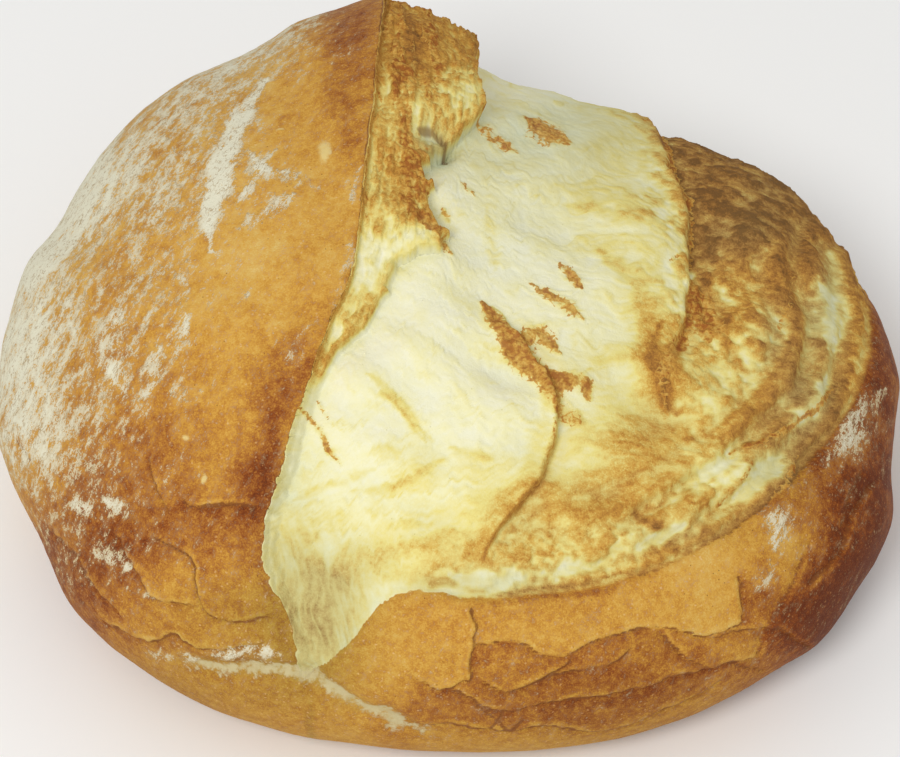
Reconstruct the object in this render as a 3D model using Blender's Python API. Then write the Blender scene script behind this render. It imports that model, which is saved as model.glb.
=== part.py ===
"""A round sourdough loaf that burst open along its top as it baked.

The loaf rests on its flat base at z = 0, with the middle of its footprint at the origin, +Z up and its
burst side facing -Y. Its marks are drawn on its face, which is the loaf as it is seen square on from
in front and above. A place on the face is (across, up) in millimetres from the loaf's core. Behind the
loaf's outline the face goes on, folded out flat, so that a mark can run over the top and down the back.
"""
import math

import bmesh
import bpy
import numpy as np

MM = 0.001

# The face: how far its line of sight dips below the horizon, and from how far off it is seen
FACE_TILT = math.radians(47)
SIGHT_MM = 900.0
CORE = np.array([0.0, 0.0, 42.0])

# The dough: two swollen lobes that run into each other, each with its middle, half width, half depth,
# rise above its middle and fall below it, in millimetres
DOME_LOBE = ((-24.0, 5.0, 38.0), 98.0, 113.0, 81.0, 62.0)
SHOULDER_LOBE = ((4.0, -4.0, 38.0), 119.0, 113.0, 57.0, 62.0)
LOBE_BLEND = 14.0  # a higher value gives a sharper crease between the lobes
CROWN_ROUNDNESS = 2.0
FLANK_ROUNDNESS = 2.4
BASE_EDGE_MM = 7.0  # radius of the rounding where the flank meets the flat base

# The base bears on four corners on the rim of its flat, and rises a little past the lines between them
BASE_CORNERS = (72, 144, 225, 335)  # headings in degrees, from +X
BASE_RISE = 0.02

# The loaf's outline on the face, as it was before it burst
OUTLINE = (
    (125, 0), (119, 17), (101, 46), (74, 62), (57, 67), (41, 78), (23, 90), (6, 99), (-18, 102), (-39, 97),
    (-53, 89), (-79, 76), (-96, 59), (-108, 40), (-118, 25), (-124, 0), (-124, -22), (-115, -43),
    (-100, -71), (-71, -92), (-41, -102), (0, -107), (38, -105), (66, -98), (89, -86), (105, -75),
    (116, -60), (124, -44), (124, -26), (126, -10),
)

# The burst: its lip from the top of the face down, and its sizes at heights up the face
LIP = (
    (-15, 150), (-16, 112), (-18.5, 90), (-20, 74), (-22, 58), (-23.5, 42), (-26.5, 24),
    (-32, 12), (-40, -8), (-44, -18), (-48.5, -36), (-51, -50), (-49, -60), (-44, -68), (-41, -82),
    (-40, -110),
)
BURST_DEPTH = ((-95, 0), (-80, 2.5), (-50, 4.5), (-10, 5.5), (25, 7), (60, 10), (85, 13), (108, 12), (145, 0))
BURST_WIDTH = ((-95, 8), (-80, 14), (-60, 40), (-40, 60), (0, 82), (50, 80), (100, 76), (145, 55))
BURST_FLAT_SHARE = 0.45  # of its width that lies at its full depth
TORN_STRIP_WIDTH = (
    (-5, 1), (6, 3), (12, 8), (32, 10), (35, 23), (41, 22), (50, 18), (64, 14), (70, 24), (78, 33),
    (90, 30), (120, 28),
)
TORN_STRIP_SHARE = (0.18, 0.55)  # of the burst's depth, at the strip's near and far side
LIP_WALL_MM = 1.6
STRIP_EDGE_MM = 4.0
LIP_CURL_MM = 1.6
LIP_CURL_REACH_MM = 9.0

# The soft lobe of crumb that pushed out of the burst
CRUMB_LOBE_AT = (-6, -10)
CRUMB_LOBE_REACH = (34, 42)
CRUMB_LOBE_MM = 4.0

# The cave under the torn strip, and the two hollows of the baked swirl
CAVE = ((1, 70), (7, 3.5), 4.5)
SWIRL_HOLLOWS = (((74, 28), (9, 22), 2.6), ((63, -14), (12, 10), 1.8))

# Edges where a torn layer stops: points along the edge with the high side on its left, the rise on the
# high side, the fall on the low side, and how far from the edge each dies away, in millimetres
FOLD = (((9.5, -52), (15.5, -45), (26.5, -30), (31.5, -16), (28, -0.5), (15.5, 19)), 1.4, 2.8, 9, 20)
SHEET_EDGE = (((63, 2), (68, 18), (69, 33), (67, 48), (58, 67), (50, 80)), 1.0, 2.6, 8, 14)
RING_EDGE = (
    ((114, 32), (119, 12), (115, -8), (100, -28), (82, -44), (60, -56), (37, -62), (9, -64), (-7, -62),
     (-17, -65), (-25, -75), (-32, -82)),
    0.8, 1.6, 9, 12,
)
UPPER_PLATE = (
    ((-32, -87), (-11, -85), (-1.5, -92), (6, -87), (8, -80), (18, -75.5), (32, -75), (47, -76), (57, -71.5),
     (71, -75), (80, -68), (85, -57)),
    0.9, 0.8, 8, 8,
)
LOWER_PLATE = (((8, -87), (18, -90), (32, -85), (43, -82), (48, -78)), 0.5, 0.5, 7, 5)
SIDE_PLATE = (((92, -80), (99, -67), (103, -54), (96, -49), (85, -57)), 1.1, 0.5, 8, 6)
CHEEK_PLATE = (((-108, -50), (-88, -43), (-70, -58), (-66, -74), (-44, -72)), 0.4, 1.2, 7, 8)
CHIN_PLATE = (((-98, -66), (-84, -70), (-70, -78), (-44, -81)), 0.4, 1.0, 6, 6)
TORN_EDGES = (
    FOLD, SHEET_EDGE, RING_EDGE, UPPER_PLATE, LOWER_PLATE, SIDE_PLATE, CHEEK_PLATE, CHIN_PLATE,
)

# The thin tear low on the front, and the folds of dough that ripple round the right of the face
LOW_TEAR = ((-82, -82), (-62, -84), (-41, -86), (-20, -97), (5, -105))
LOW_TEAR_HALF_WIDTH_MM = 3.0
LOW_TEAR_MM = 2.4
RIPPLE_PITCH_MM = 9.5
RIPPLE_HEIGHT_MM = 1.3
RIPPLE_BAND_MM = 36.0
RIPPLE_LEFT_END_MM = 20.0
RIPPLE_TOP_MM = 48.0

EDGE_SOFTNESS_MM = 2.0  # half the width over which a torn edge drops

# Unevenness of the torn crumb and, less, of the crust: waves laid over one another in all directions
WAVES = 9
WAVE_LENGTHS_MM = (13.0, 30.0)
CRUMB_WAVE_MM = 0.85
CRUST_WAVE_MM = 0.2
WAVE_SEED = 11

# The mesh: a square sheet of cells wrapped round the loaf from above, closed under the base
CELLS = 82
WRAP_TILT = math.radians(65)
WRAP_ANGLE = math.radians(150)
LIP_COLUMN = 36
LIP_CROWDING = 1.2  # above 1, columns stand closer together beside the lip

CRUST_COLOUR = (0.55, 0.27, 0.085, 1.0)
CRUST_ROUGHNESS = 0.62


def axes_at(tilt):
    """Unit directions towards an eye looking down at a tilt, and upwards as that eye sees it."""
    towards = np.array([0.0, -math.cos(tilt), math.sin(tilt)])
    return towards, np.array([0.0, math.sin(tilt), math.cos(tilt)])


ACROSS = np.array([1.0, 0.0, 0.0])
TOWARDS_EYE, UPWARD = axes_at(FACE_TILT)


def smooth(values, low, high):
    """0 at low and 1 at high, with no corner at either."""
    share = np.clip((values - low) / (high - low), 0.0, 1.0)
    return share * share * (3.0 - 2.0 * share)


def stations(pairs, at):
    """The size at a place up the face, from (place, size) pairs."""
    places, sizes = np.array(pairs, float).T
    return np.interp(at, places, sizes)


def curve_through(points, closed=False, steps=8):
    """A smooth line through the points, as many short straight ones."""
    points = np.array(points, float)
    if closed:
        padded = np.vstack([points[-1:], points, points[:2]])
    else:
        padded = np.vstack([2 * points[0] - points[1], points, 2 * points[-1] - points[-2]])
    share = np.linspace(0.0, 1.0, steps, endpoint=False)[:, None]
    pieces = []
    for before, start, end, after in zip(padded, padded[1:], padded[2:], padded[3:]):
        leave, arrive = (end - before) / 2, (after - start) / 2
        pieces.append(
            (2 * share**3 - 3 * share**2 + 1) * start + (share**3 - 2 * share**2 + share) * leave
            + (3 * share**2 - 2 * share**3) * end + (share**3 - share**2) * arrive
        )
    line = np.vstack(pieces)
    return np.vstack([line, points[:1] if closed else points[-1:]])


def beside(places, line):
    """Distance from a line, positive on its left, and how far along it each place lies, from 0 to 1."""
    ways = np.diff(line, axis=0)
    lengths = np.hypot(*ways.T)
    run = np.concatenate([[0.0], np.cumsum(lengths)]) / lengths.sum()
    nearest = np.full(len(places), np.inf)
    side = np.ones(len(places))
    along = np.zeros(len(places))
    for start, way, before, after in zip(line, ways, run, run[1:]):
        share = np.clip((places - start) @ way / (way @ way), 0.0, 1.0)
        gap = places - start - share[:, None] * way
        distance = np.hypot(*gap.T)
        closer = distance < nearest
        nearest[closer] = distance[closer]
        side[closer] = np.sign(way[0] * gap[closer, 1] - way[1] * gap[closer, 0])
        along[closer] = before + share[closer] * (after - before)
    return nearest * side, along


def dough_level(points):
    """Under 1 inside the two lobes of dough, and over 1 outside them."""
    levels = []
    for middle, half_width, half_depth, rise, fall in (DOME_LOBE, SHOULDER_LOBE):
        offset = points - np.array(middle)
        plan = np.hypot(offset[..., 0] / half_width, offset[..., 1] / half_depth)
        height = offset[..., 2]
        upper = height > 0
        power = np.where(upper, CROWN_ROUNDNESS, FLANK_ROUNDNESS)
        reach = np.abs(height) / np.where(upper, rise, fall)
        levels.append((plan**power + reach**power) ** (1 / power))
    return -np.log(sum(np.exp(-LOBE_BLEND * level) for level in levels)) / LOBE_BLEND


def dough_surface(directions):
    """Where a ray from the core in each direction leaves the dough, from the core."""
    near = np.full(directions.shape[:-1], 20.0)
    far = np.full(directions.shape[:-1], 200.0)
    for _ in range(26):
        middle = (near + far) / 2
        inside = dough_level(CORE + directions * middle[..., None]) < 1.0
        near = np.where(inside, middle, near)
        far = np.where(inside, far, middle)
    return directions * near[..., None]


def on_face(offsets):
    """Places on the face of points given from the core, as the eye sees them."""
    scale = SIGHT_MM / (SIGHT_MM - offsets @ TOWARDS_EYE)
    return np.stack([offsets @ ACROSS * scale, offsets @ UPWARD * scale], axis=-1)


def directions_round(tilt, angle, turn):
    """Directions at an angle from the line to the eye at a tilt, turned round it from the right."""
    towards, upward = axes_at(tilt)
    aside = np.cos(turn)[..., None] * ACROSS + np.sin(turn)[..., None] * upward
    return np.cos(angle)[..., None] * towards + np.sin(angle)[..., None] * aside


def outline_radius():
    """The drawn outline's radius against its angle, as two lists, and the dough's own at those angles."""
    line = curve_through(OUTLINE, closed=True)[:-1]
    turns = np.arctan2(line[:, 1], line[:, 0])
    order = np.argsort(turns)
    turns, radii = turns[order], np.hypot(*line[order].T)
    sweep, all_turns = np.meshgrid(np.radians(np.linspace(60.0, 125.0, 40)), turns)
    seen = on_face(dough_surface(directions_round(FACE_TILT, sweep, all_turns)))
    return turns, radii, np.hypot(seen[..., 0], seen[..., 1]).max(axis=1)


TURNS, OUTLINE_RADII, DOUGH_RADII = outline_radius()


def skin(across, up):
    """Points of the unbroken loaf, from the core, for places on the square sheet that wraps it."""
    right = across * np.sqrt(1 - up**2 / 2)
    above = up * np.sqrt(1 - across**2 / 2)
    turn = np.arctan2(above, right)
    angle = 2 * np.arcsin(np.hypot(right, above) * math.sin(WRAP_ANGLE / 2))
    offsets = dough_surface(directions_round(WRAP_TILT, angle, turn))
    turn = np.arctan2(offsets @ UPWARD, offsets @ ACROSS)
    trim = np.interp(turn, TURNS, OUTLINE_RADII / DOUGH_RADII, period=2 * math.pi)[..., None]
    depth = (offsets @ TOWARDS_EYE)[..., None] * TOWARDS_EYE
    return depth + (offsets - depth) * trim


def unfolded(offsets, hidden):
    """Places on the face, with what is hidden from the eye folded out beyond the outline."""
    places = on_face(offsets)
    turn = np.arctan2(places[..., 1], places[..., 0])
    radius = np.hypot(places[..., 0], places[..., 1])
    edge = np.interp(turn, TURNS, OUTLINE_RADII, period=2 * math.pi)
    far = np.where(hidden, 2 * edge - radius, radius)
    return places * (far / np.maximum(radius, 1e-6))[..., None]


def normals_of(points):
    """Outward unit normals of a grid of points whose rows run up and whose columns run to the right."""
    normals = np.cross(np.gradient(points, axis=1), np.gradient(points, axis=0))
    return normals / np.maximum(np.linalg.norm(normals, axis=-1, keepdims=True), 1e-9)


def hidden_from_eye(offsets, normals):
    return np.sum(normals * (SIGHT_MM * TOWARDS_EYE - offsets), axis=-1) < 0


def lip_at(up_face):
    line = curve_through(LIP)[::-1]
    return np.interp(up_face, line[:, 1], line[:, 0])


def sheet_columns():
    """Where the sheet's columns and rows lie, with one column bent to run along the lip."""
    even = np.linspace(-1.0, 1.0, CELLS + 1)
    up, across = np.meshgrid(even, even, indexing="ij")
    points = skin(across, up)
    places = unfolded(points, hidden_from_eye(points, normals_of(points)))
    right_of_lip = places[..., 0] - lip_at(places[..., 1])
    lip = np.array([np.interp(0.0, row, even) for row in right_of_lip])
    middle = even[LIP_COLUMN]
    shares = np.where(even < middle, (middle - even) / (middle + 1), (even - middle) / (1 - middle))
    shares = shares**LIP_CROWDING
    left = lip[:, None] - shares * (lip[:, None] + 1)
    right = lip[:, None] + shares * (1 - lip[:, None])
    return np.where(even < middle, left, right), up


def burst_floor(places):
    """How far the burst sinks the surface."""
    up = places[:, 1]
    from_lip = places[:, 0] - lip_at(up)
    depth = stations(BURST_DEPTH, up)
    width = stations(BURST_WIDTH, up)
    strip = stations(TORN_STRIP_WIDTH, up)
    near_share, far_share = TORN_STRIP_SHARE
    on_strip = near_share + (far_share - near_share) * np.clip(from_lip / strip, 0, 1)
    past_strip = smooth(from_lip, strip, strip + STRIP_EDGE_MM)
    share = (on_strip + (1 - on_strip) * past_strip) * smooth(from_lip, 0, LIP_WALL_MM)
    return -depth * share * (1 - smooth(from_lip, BURST_FLAT_SHARE * width, width))


def lip_curl(places):
    """The crust's rise towards the lip, on the crust's side only."""
    from_lip = places[:, 0] - lip_at(places[:, 1])
    on_crust = np.exp(-((np.minimum(from_lip, 0) / LIP_CURL_REACH_MM) ** 2)) * (from_lip < LIP_WALL_MM / 2)
    length = smooth(places[:, 1], -62, -40) * (1 - smooth(places[:, 1], 112, 135))
    return LIP_CURL_MM * on_crust * length


def bump(places, middle, reach, height):
    return height * np.exp(-(((places - np.array(middle)) / np.array(reach)) ** 2).sum(axis=1))


def torn_edge(places, points, rise, fall, rise_reach, fall_reach):
    """A step along an edge: high on its left, low on its right, dying away on both sides and at its ends."""
    distance, along = beside(places, curve_through(points))
    ends = smooth(along, 0.0, 0.12) * (1 - smooth(along, 0.88, 1.0))
    high = rise * np.exp(-np.maximum(distance, 0) / rise_reach)
    low = fall * np.exp(-np.maximum(-distance, 0) / fall_reach)
    on_high_side = smooth(distance, -EDGE_SOFTNESS_MM, EDGE_SOFTNESS_MM)
    return (high * on_high_side - low * (1 - on_high_side)) * ends


def low_tear(places):
    distance, along = beside(places, curve_through(LOW_TEAR))
    ends = smooth(along, 0.0, 0.2) * (1 - smooth(along, 0.7, 1.0))
    return -LOW_TEAR_MM * np.exp(-((distance / LOW_TEAR_HALF_WIDTH_MM) ** 2)) * ends


def ripples(places):
    """Folds that run beside the crust ring's inner edge and fade towards the crumb."""
    distance, _ = beside(places, curve_through(RING_EDGE[0]))
    inward = -distance
    band = smooth(inward, 0, 4) * (1 - smooth(inward, RIPPLE_BAND_MM / 2, RIPPLE_BAND_MM))
    right = smooth(places[:, 0], RIPPLE_LEFT_END_MM, RIPPLE_LEFT_END_MM + 40)
    length = right * (1 - smooth(places[:, 1], RIPPLE_TOP_MM - 25, RIPPLE_TOP_MM))
    return RIPPLE_HEIGHT_MM * np.sin(2 * math.pi * inward / RIPPLE_PITCH_MM) * band * length


def on_crumb(places):
    """1 on the torn crumb and 0 on the crust, fading from one to the other."""
    ring_side, _ = beside(places, curve_through(RING_EDGE[0]))
    bare = smooth(places[:, 0] - lip_at(places[:, 1]), 0, 4) * smooth(-ring_side, -1, 3)
    return bare * smooth(places[:, 1], -90, -70) * (1 - smooth(places[:, 1], 125, 145))


def unevenness(places):
    """Waves of several lengths and directions laid over one another."""
    draws = np.random.default_rng(WAVE_SEED)
    total = np.zeros(len(places))
    for _ in range(WAVES):
        heading, phase = draws.uniform(0, 2 * math.pi, 2)
        way = np.array([math.cos(heading), math.sin(heading)])
        total += np.sin(2 * math.pi * places @ way / draws.uniform(*WAVE_LENGTHS_MM) + phase)
    share = on_crumb(places)
    return (CRUST_WAVE_MM + (CRUMB_WAVE_MM - CRUST_WAVE_MM) * share) * total / math.sqrt(WAVES)


def relief(places):
    """How far the surface stands out from the unbroken loaf at places on the face."""
    height = burst_floor(places) + lip_curl(places)
    height += bump(places, CRUMB_LOBE_AT, CRUMB_LOBE_REACH, CRUMB_LOBE_MM) * (
        places[:, 0] > lip_at(places[:, 1])
    )
    for middle, reach, depth in (CAVE, *SWIRL_HOLLOWS):
        height += bump(places, middle, reach, -depth)
    for edge in TORN_EDGES:
        height += torn_edge(places, *edge)
    return height + low_tear(places) + ripples(places) + unevenness(places)


def settled_on_table(heights):
    """Heights with what would lie under the table pressed flat on it, and the edge rounded."""
    rounded = (heights + BASE_EDGE_MM) ** 2 / (4 * BASE_EDGE_MM)
    return np.where(heights > BASE_EDGE_MM, heights, np.where(heights < -BASE_EDGE_MM, 0.0, rounded))


def eased_base(points):
    """The points with the base raised a little outside the lines that join its four corners."""
    plan = points[..., :2]
    flat = plan[points[..., 2] == 0.0]
    corners = []
    for heading in np.radians(BASE_CORNERS):
        corners.append(flat[np.argmax(flat @ [math.cos(heading), math.sin(heading)])])
    past = np.zeros(plan.shape[:-1])
    for start, end in zip(corners, corners[1:] + corners[:1]):
        side = (end - start) / np.linalg.norm(end - start)
        past = np.maximum(past, (plan - start) @ [side[1], -side[0]])
    low = np.clip(1 - points[..., 2] / BASE_EDGE_MM, 0, 1)
    rise = BASE_RISE * past * low
    return np.concatenate([plan, (points[..., 2] + rise)[..., None]], axis=-1)


def shaped_sheet():
    """The sheet's points on the loaf, in millimetres, with the core straight above the origin."""
    across, up = sheet_columns()
    points = skin(across, up)
    normals = normals_of(points)
    places = unfolded(points, hidden_from_eye(points, normals)).reshape(-1, 2)
    points = CORE + points + normals * relief(places).reshape(across.shape)[..., None]
    points[..., 2] = settled_on_table(points[..., 2])
    return eased_base(points)


def footprint_middle(points):
    plan = points[..., :2].reshape(-1, 2)
    return np.append((plan.min(axis=0) + plan.max(axis=0)) / 2, 0.0)


def build_loaf():
    """The loaf as one closed mesh: a grid wrapped round it, with its rim joined by one flat fan."""
    points = shaped_sheet()
    points -= footprint_middle(points)
    mesh = bmesh.new()
    bmesh.ops.create_grid(mesh, x_segments=CELLS, y_segments=CELLS, size=1.0)
    for vertex, point in zip(mesh.verts, points.reshape(-1, 3)):
        vertex.co = point * MM
    rim = [edge for edge in mesh.edges if edge.is_boundary]
    cap = bmesh.ops.contextual_create(mesh, geom=rim)["faces"]
    bmesh.ops.poke(mesh, faces=cap)
    bmesh.ops.recalc_face_normals(mesh, faces=mesh.faces)
    data = bpy.data.meshes.new("loaf")
    mesh.to_mesh(data)
    mesh.free()
    data.shade_smooth()
    return bpy.data.objects.new("loaf", data)


def crust_material():
    material = bpy.data.materials.new("baked_crust")
    material.use_nodes = True
    shader = material.node_tree.nodes["Principled BSDF"]
    shader.inputs["Base Color"].default_value = CRUST_COLOUR
    shader.inputs["Roughness"].default_value = CRUST_ROUGHNESS
    shader.inputs["Metallic"].default_value = 0.0
    return material


def main():
    for old in list(bpy.data.objects):
        bpy.data.objects.remove(old, do_unlink=True)
    collection = bpy.data.collections.new("sourdough_loaf")
    bpy.context.scene.collection.children.link(collection)
    loaf = build_loaf()
    loaf.data.materials.append(crust_material())
    collection.objects.link(loaf)


main()
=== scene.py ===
"""The looks of a round sourdough loaf that burst open along its top as it baked.

The loaf's form is worked out as its solid was, and then given its crust, torn crumb and flour. Its marks are
drawn on its face, which is the loaf as it is seen square on from in front and above. A place on the face is
(across, up) in millimetres from the loaf's core, and behind the outline the face is folded out flat.
"""

import itertools
import math

import bpy
import numpy as np
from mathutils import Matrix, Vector

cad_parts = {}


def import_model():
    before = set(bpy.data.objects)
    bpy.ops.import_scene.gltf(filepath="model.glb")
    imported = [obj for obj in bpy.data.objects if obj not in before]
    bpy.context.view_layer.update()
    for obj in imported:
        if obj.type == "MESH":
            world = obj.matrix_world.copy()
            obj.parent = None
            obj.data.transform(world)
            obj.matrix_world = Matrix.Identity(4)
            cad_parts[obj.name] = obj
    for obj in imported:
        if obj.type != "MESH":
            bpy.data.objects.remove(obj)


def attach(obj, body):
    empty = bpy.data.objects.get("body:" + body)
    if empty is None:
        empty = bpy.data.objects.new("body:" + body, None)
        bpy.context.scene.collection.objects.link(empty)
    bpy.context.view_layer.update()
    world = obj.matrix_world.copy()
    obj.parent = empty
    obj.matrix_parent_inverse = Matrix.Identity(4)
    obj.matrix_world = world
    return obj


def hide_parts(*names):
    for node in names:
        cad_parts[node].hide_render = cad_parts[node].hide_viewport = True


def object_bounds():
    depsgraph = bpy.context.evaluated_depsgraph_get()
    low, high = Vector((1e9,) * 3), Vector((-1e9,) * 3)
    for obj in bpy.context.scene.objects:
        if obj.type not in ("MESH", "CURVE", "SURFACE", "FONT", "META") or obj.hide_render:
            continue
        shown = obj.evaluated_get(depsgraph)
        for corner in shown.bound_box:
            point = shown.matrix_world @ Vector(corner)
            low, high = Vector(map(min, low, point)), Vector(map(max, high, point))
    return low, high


MM = 0.001

# The face: how far its line of sight dips below the horizon, and from how far off it is seen
FACE_TILT = math.radians(47)
SIGHT_MM = 900.0
CORE = np.array([0.0, 0.0, 42.0])
FOOTPRINT_MIDDLE = np.array([0.843, 3.745, 0.0])  # of the solid, from under the core

# The dough: two swollen lobes that run into each other, each with its middle, half width, half depth,
# rise above its middle and fall below it, in millimetres
DOME_LOBE = ((-24.0, 5.0, 38.0), 98.0, 113.0, 81.0, 62.0)
SHOULDER_LOBE = ((4.0, -4.0, 38.0), 119.0, 113.0, 57.0, 62.0)
LOBE_BLEND = 14.0
CROWN_ROUNDNESS = 2.0
FLANK_ROUNDNESS = 2.4
BASE_EDGE_MM = 7.0

OUTLINE = (
    (125, 0), (119, 17), (101, 46), (74, 62), (57, 67), (41, 78), (23, 90), (6, 99), (-18, 102), (-39, 97),
    (-53, 89), (-79, 76), (-96, 59), (-108, 40), (-118, 25), (-124, 0), (-124, -22), (-115, -43),
    (-100, -71), (-71, -92), (-41, -102), (0, -107), (38, -105), (66, -98), (89, -86), (105, -75),
    (116, -60), (124, -44), (124, -26), (126, -10),
)

# The burst: its lip from the top of the face down, and its sizes at heights up the face
LIP = (
    (-15, 150), (-16, 112), (-18.5, 90), (-20, 74), (-22, 58), (-23.5, 42), (-26.5, 24),
    (-32, 12), (-40, -8), (-44, -18), (-48.5, -36), (-51, -50), (-49, -60), (-44, -68), (-41, -82),
    (-40, -110),
)
BURST_DEPTH = ((-95, 0), (-80, 2.5), (-50, 4.5), (-10, 5.5), (25, 7), (60, 10), (85, 13), (108, 12), (145, 0))
BURST_WIDTH = ((-95, 8), (-80, 14), (-60, 40), (-40, 60), (0, 82), (50, 80), (100, 76), (145, 55))
BURST_FLAT_SHARE = 0.45
TORN_STRIP_WIDTH = (
    (-5, 1), (6, 3), (12, 8), (32, 10), (35, 23), (41, 22), (50, 18), (64, 14), (70, 24), (78, 33),
    (90, 30), (120, 28),
)
TORN_STRIP_SHARE = (0.06, 0.45)
LIP_WALL_MM = 1.3
STRIP_EDGE_MM = 2.2
LIP_CURL_MM = 1.6
LIP_CURL_REACH_MM = 9.0
CRUMB_LOBE_AT = (-6, -10)
CRUMB_LOBE_REACH = (34, 42)
CRUMB_LOBE_MM = 4.0
CAVE = ((1, 70), (7, 3.5), 4.5)
SWIRL_HOLLOWS = (((74, 28), (9, 22), 2.6), ((63, -14), (12, 10), 1.8))

# Where the lip swells to the right, where it is darkest, and marks of the crumb: the wedge at the lip's
# foot, the mouth of the cave, and the calm middle of the swirl
LIP_SWELL = ((-42, -22), (60, 24), 1.4)
DARK_LIP = LIP[6:13]
WEDGE = ((-36, -70), (16, 24))
# The cave's mouth is where painted shade stays on the torn strip
SHADED_CAVE_MOUTH = ((-2, 67.5), (8, 4.5))
CALM_SWIRL = ((74, 0), (14, 15), 0.55)

# Behind, the burst ends ragged between these heights up the unfolded face, and between these above the base
BURST_END_MM = (123, 126)
BURST_ABOVE_BASE_MM = (17, 20)

# Edges where a torn layer stops: points along the edge with the high side on its left, the rise on the
# high side, the fall on the low side, and how far from the edge each dies away, in millimetres
FOLD = (((9.5, -52), (15.5, -45), (26.5, -30), (31.5, -16), (28, -0.5), (15.5, 19)), 1.4, 2.8, 9, 20)
SHEET_EDGE = (((63, 2), (68, 18), (69, 33), (67, 48), (58, 67), (50, 80)), 1.0, 2.6, 8, 14)
RING_EDGE = (
    ((114, 32), (119, 12), (115, -8), (100, -28), (82, -44), (60, -56), (37, -62), (9, -64), (-7, -62),
     (-17, -65), (-25, -75), (-32, -82)),
    0.8, 1.6, 9, 12,
)
TORN_EDGES = (FOLD, SHEET_EDGE, RING_EDGE)
EDGE_SOFTNESS_MM = 1.4

LOW_TEAR = ((-82, -82), (-62, -84), (-41, -86), (-20, -97), (5, -105))
LOW_TEAR_HALF_WIDTH_MM = 3.0
LOW_TEAR_MM = 2.4
RIPPLE_PITCH_MM = 9.5
RIPPLE_HEIGHT_MM = 1.3
RIPPLE_BAND_MM = 36.0
RIPPLE_LEFT_END_MM = 20.0
RIPPLE_TOP_MM = 48.0
WAVES = 9
WAVE_LENGTHS_MM = (13.0, 30.0)
CRUMB_WAVE_MM = 0.85
CRUST_WAVE_MM = 0.2
WAVE_SEED = 11
RING_LENGTH_MM = 230
BEYOND_REACH_MM = 1e3  # stands for the distance from a line of whatever is too far off to be worked out

# The mesh: one fine sheet wrapped round the loaf, kept as four pieces that meet without a seam
CELLS = 616
FACE_CROWDING = 0.25  # how much closer the cells stand on the face than on the base
WRAP_TILT = math.radians(65)
WRAP_ANGLE = math.radians(150)
LIP_COLUMN_SHARE = 0.4423
LIP_CROWDING = 1.2

# Cracks between plates of crust: points, how much darker the crust is on the right of the line, and how
# far the darkness reaches
CRUST_CRACKS = (
    (((-12.5, -82.7), (-5.6, -88), (-1.4, -89.6), (5, -86.9), (7.2, -86.9), (8.4, -78.2), (12, -76.8),
      (19, -75.7), (22, -76.8), (26, -79.3), (34, -80.5), (42, -75.7), (52.6, -73.5), (61.8, -72.4),
      (67.7, -74), (71, -75.2), (79.3, -72.4), (82.7, -69.9), (82.1, -58.5), (80.5, -54.8)), 0.17, 30),
    (((9.5, -87), (16.4, -89.6), (21, -88.5), (34, -83), (35.6, -80.5)), 0.05, 12),
    (((8.4, -78), (8.6, -72), (7, -66)), 0.0, 4),
    (((17, -91), (28, -86.3), (38.7, -84.6), (45.7, -82.7), (52.6, -78)), 0.04, 8),
    (((103, -46), (96, -60), (90, -72), (86, -84)), -0.24, 26),
    (((110, -45), (112, -36), (116, -29)), -0.14, 10),
    (((73, -76), (80.5, -73.5), (92, -72.4), (102, -78)), 0.03, 8),
    (((-12.5, -99.7), (6, -100.2), (17.6, -101.3), (29, -100), (42, -101.4), (52.5, -98.5), (69, -92),
      (80.4, -85)), -0.12, 12),
    (((-1, -88), (5, -91), (10.6, -94.4), (17.5, -96), (24, -94)), 0.02, 8),
    (((22, -94.4), (36, -92.7), (52.6, -89.6), (61.8, -86.3), (75.7, -82.7), (89.6, -80.5)), 0.06, 10),
    (((60, -72.6), (66, -80), (76, -84)), 0.04, 8),
    (((121, -30), (114, -40), (109, -52), (100, -62)), 0.10, 10),
    (((-94, -44), (-84.5, -59), (-80.3, -65), (-68.8, -66.3)), 0.06, 12),
    (((-84.5, -46), (-71, -53), (-68.8, -65), (-64, -70), (-56.8, -70.5), (-45, -69)), -0.06, 12),
    (((-100, -68), (-82.7, -76), (-76, -73.5), (-71.3, -77), (-61.5, -78.3), (-48, -76)), 0.07, 10),
    (((-112, -42), (-104, -52), (-97, -62), (-88, -70)), 0.08, 12),
    (((-74, -36), (-70, -38.5), (-60, -37.5), (-51, -38.5)), 0.06, 16),
    (((-82, -24), (-80, -34), (-76, -41)), -0.03, 8),
)
SLITS = (
    (((9, -94.5), (14, -98), (18, -101), (22, -98.5)), 0.5), (((13, -100.5), (16, -97)), 0.5),
    (((79, -82.5), (84, -83.5), (88, -84.5)), 0.5), (((82, -58), (84, -61)), 0.5),
    (((-119, -20), (-116, -26)), 0.5), (((-7, 69), (-3, 70.5), (1, 69.8), (4, 67.5)), 1.4),
    (((58.3, 65.2), (61.2, 62.8)), 1.1),
)

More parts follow.
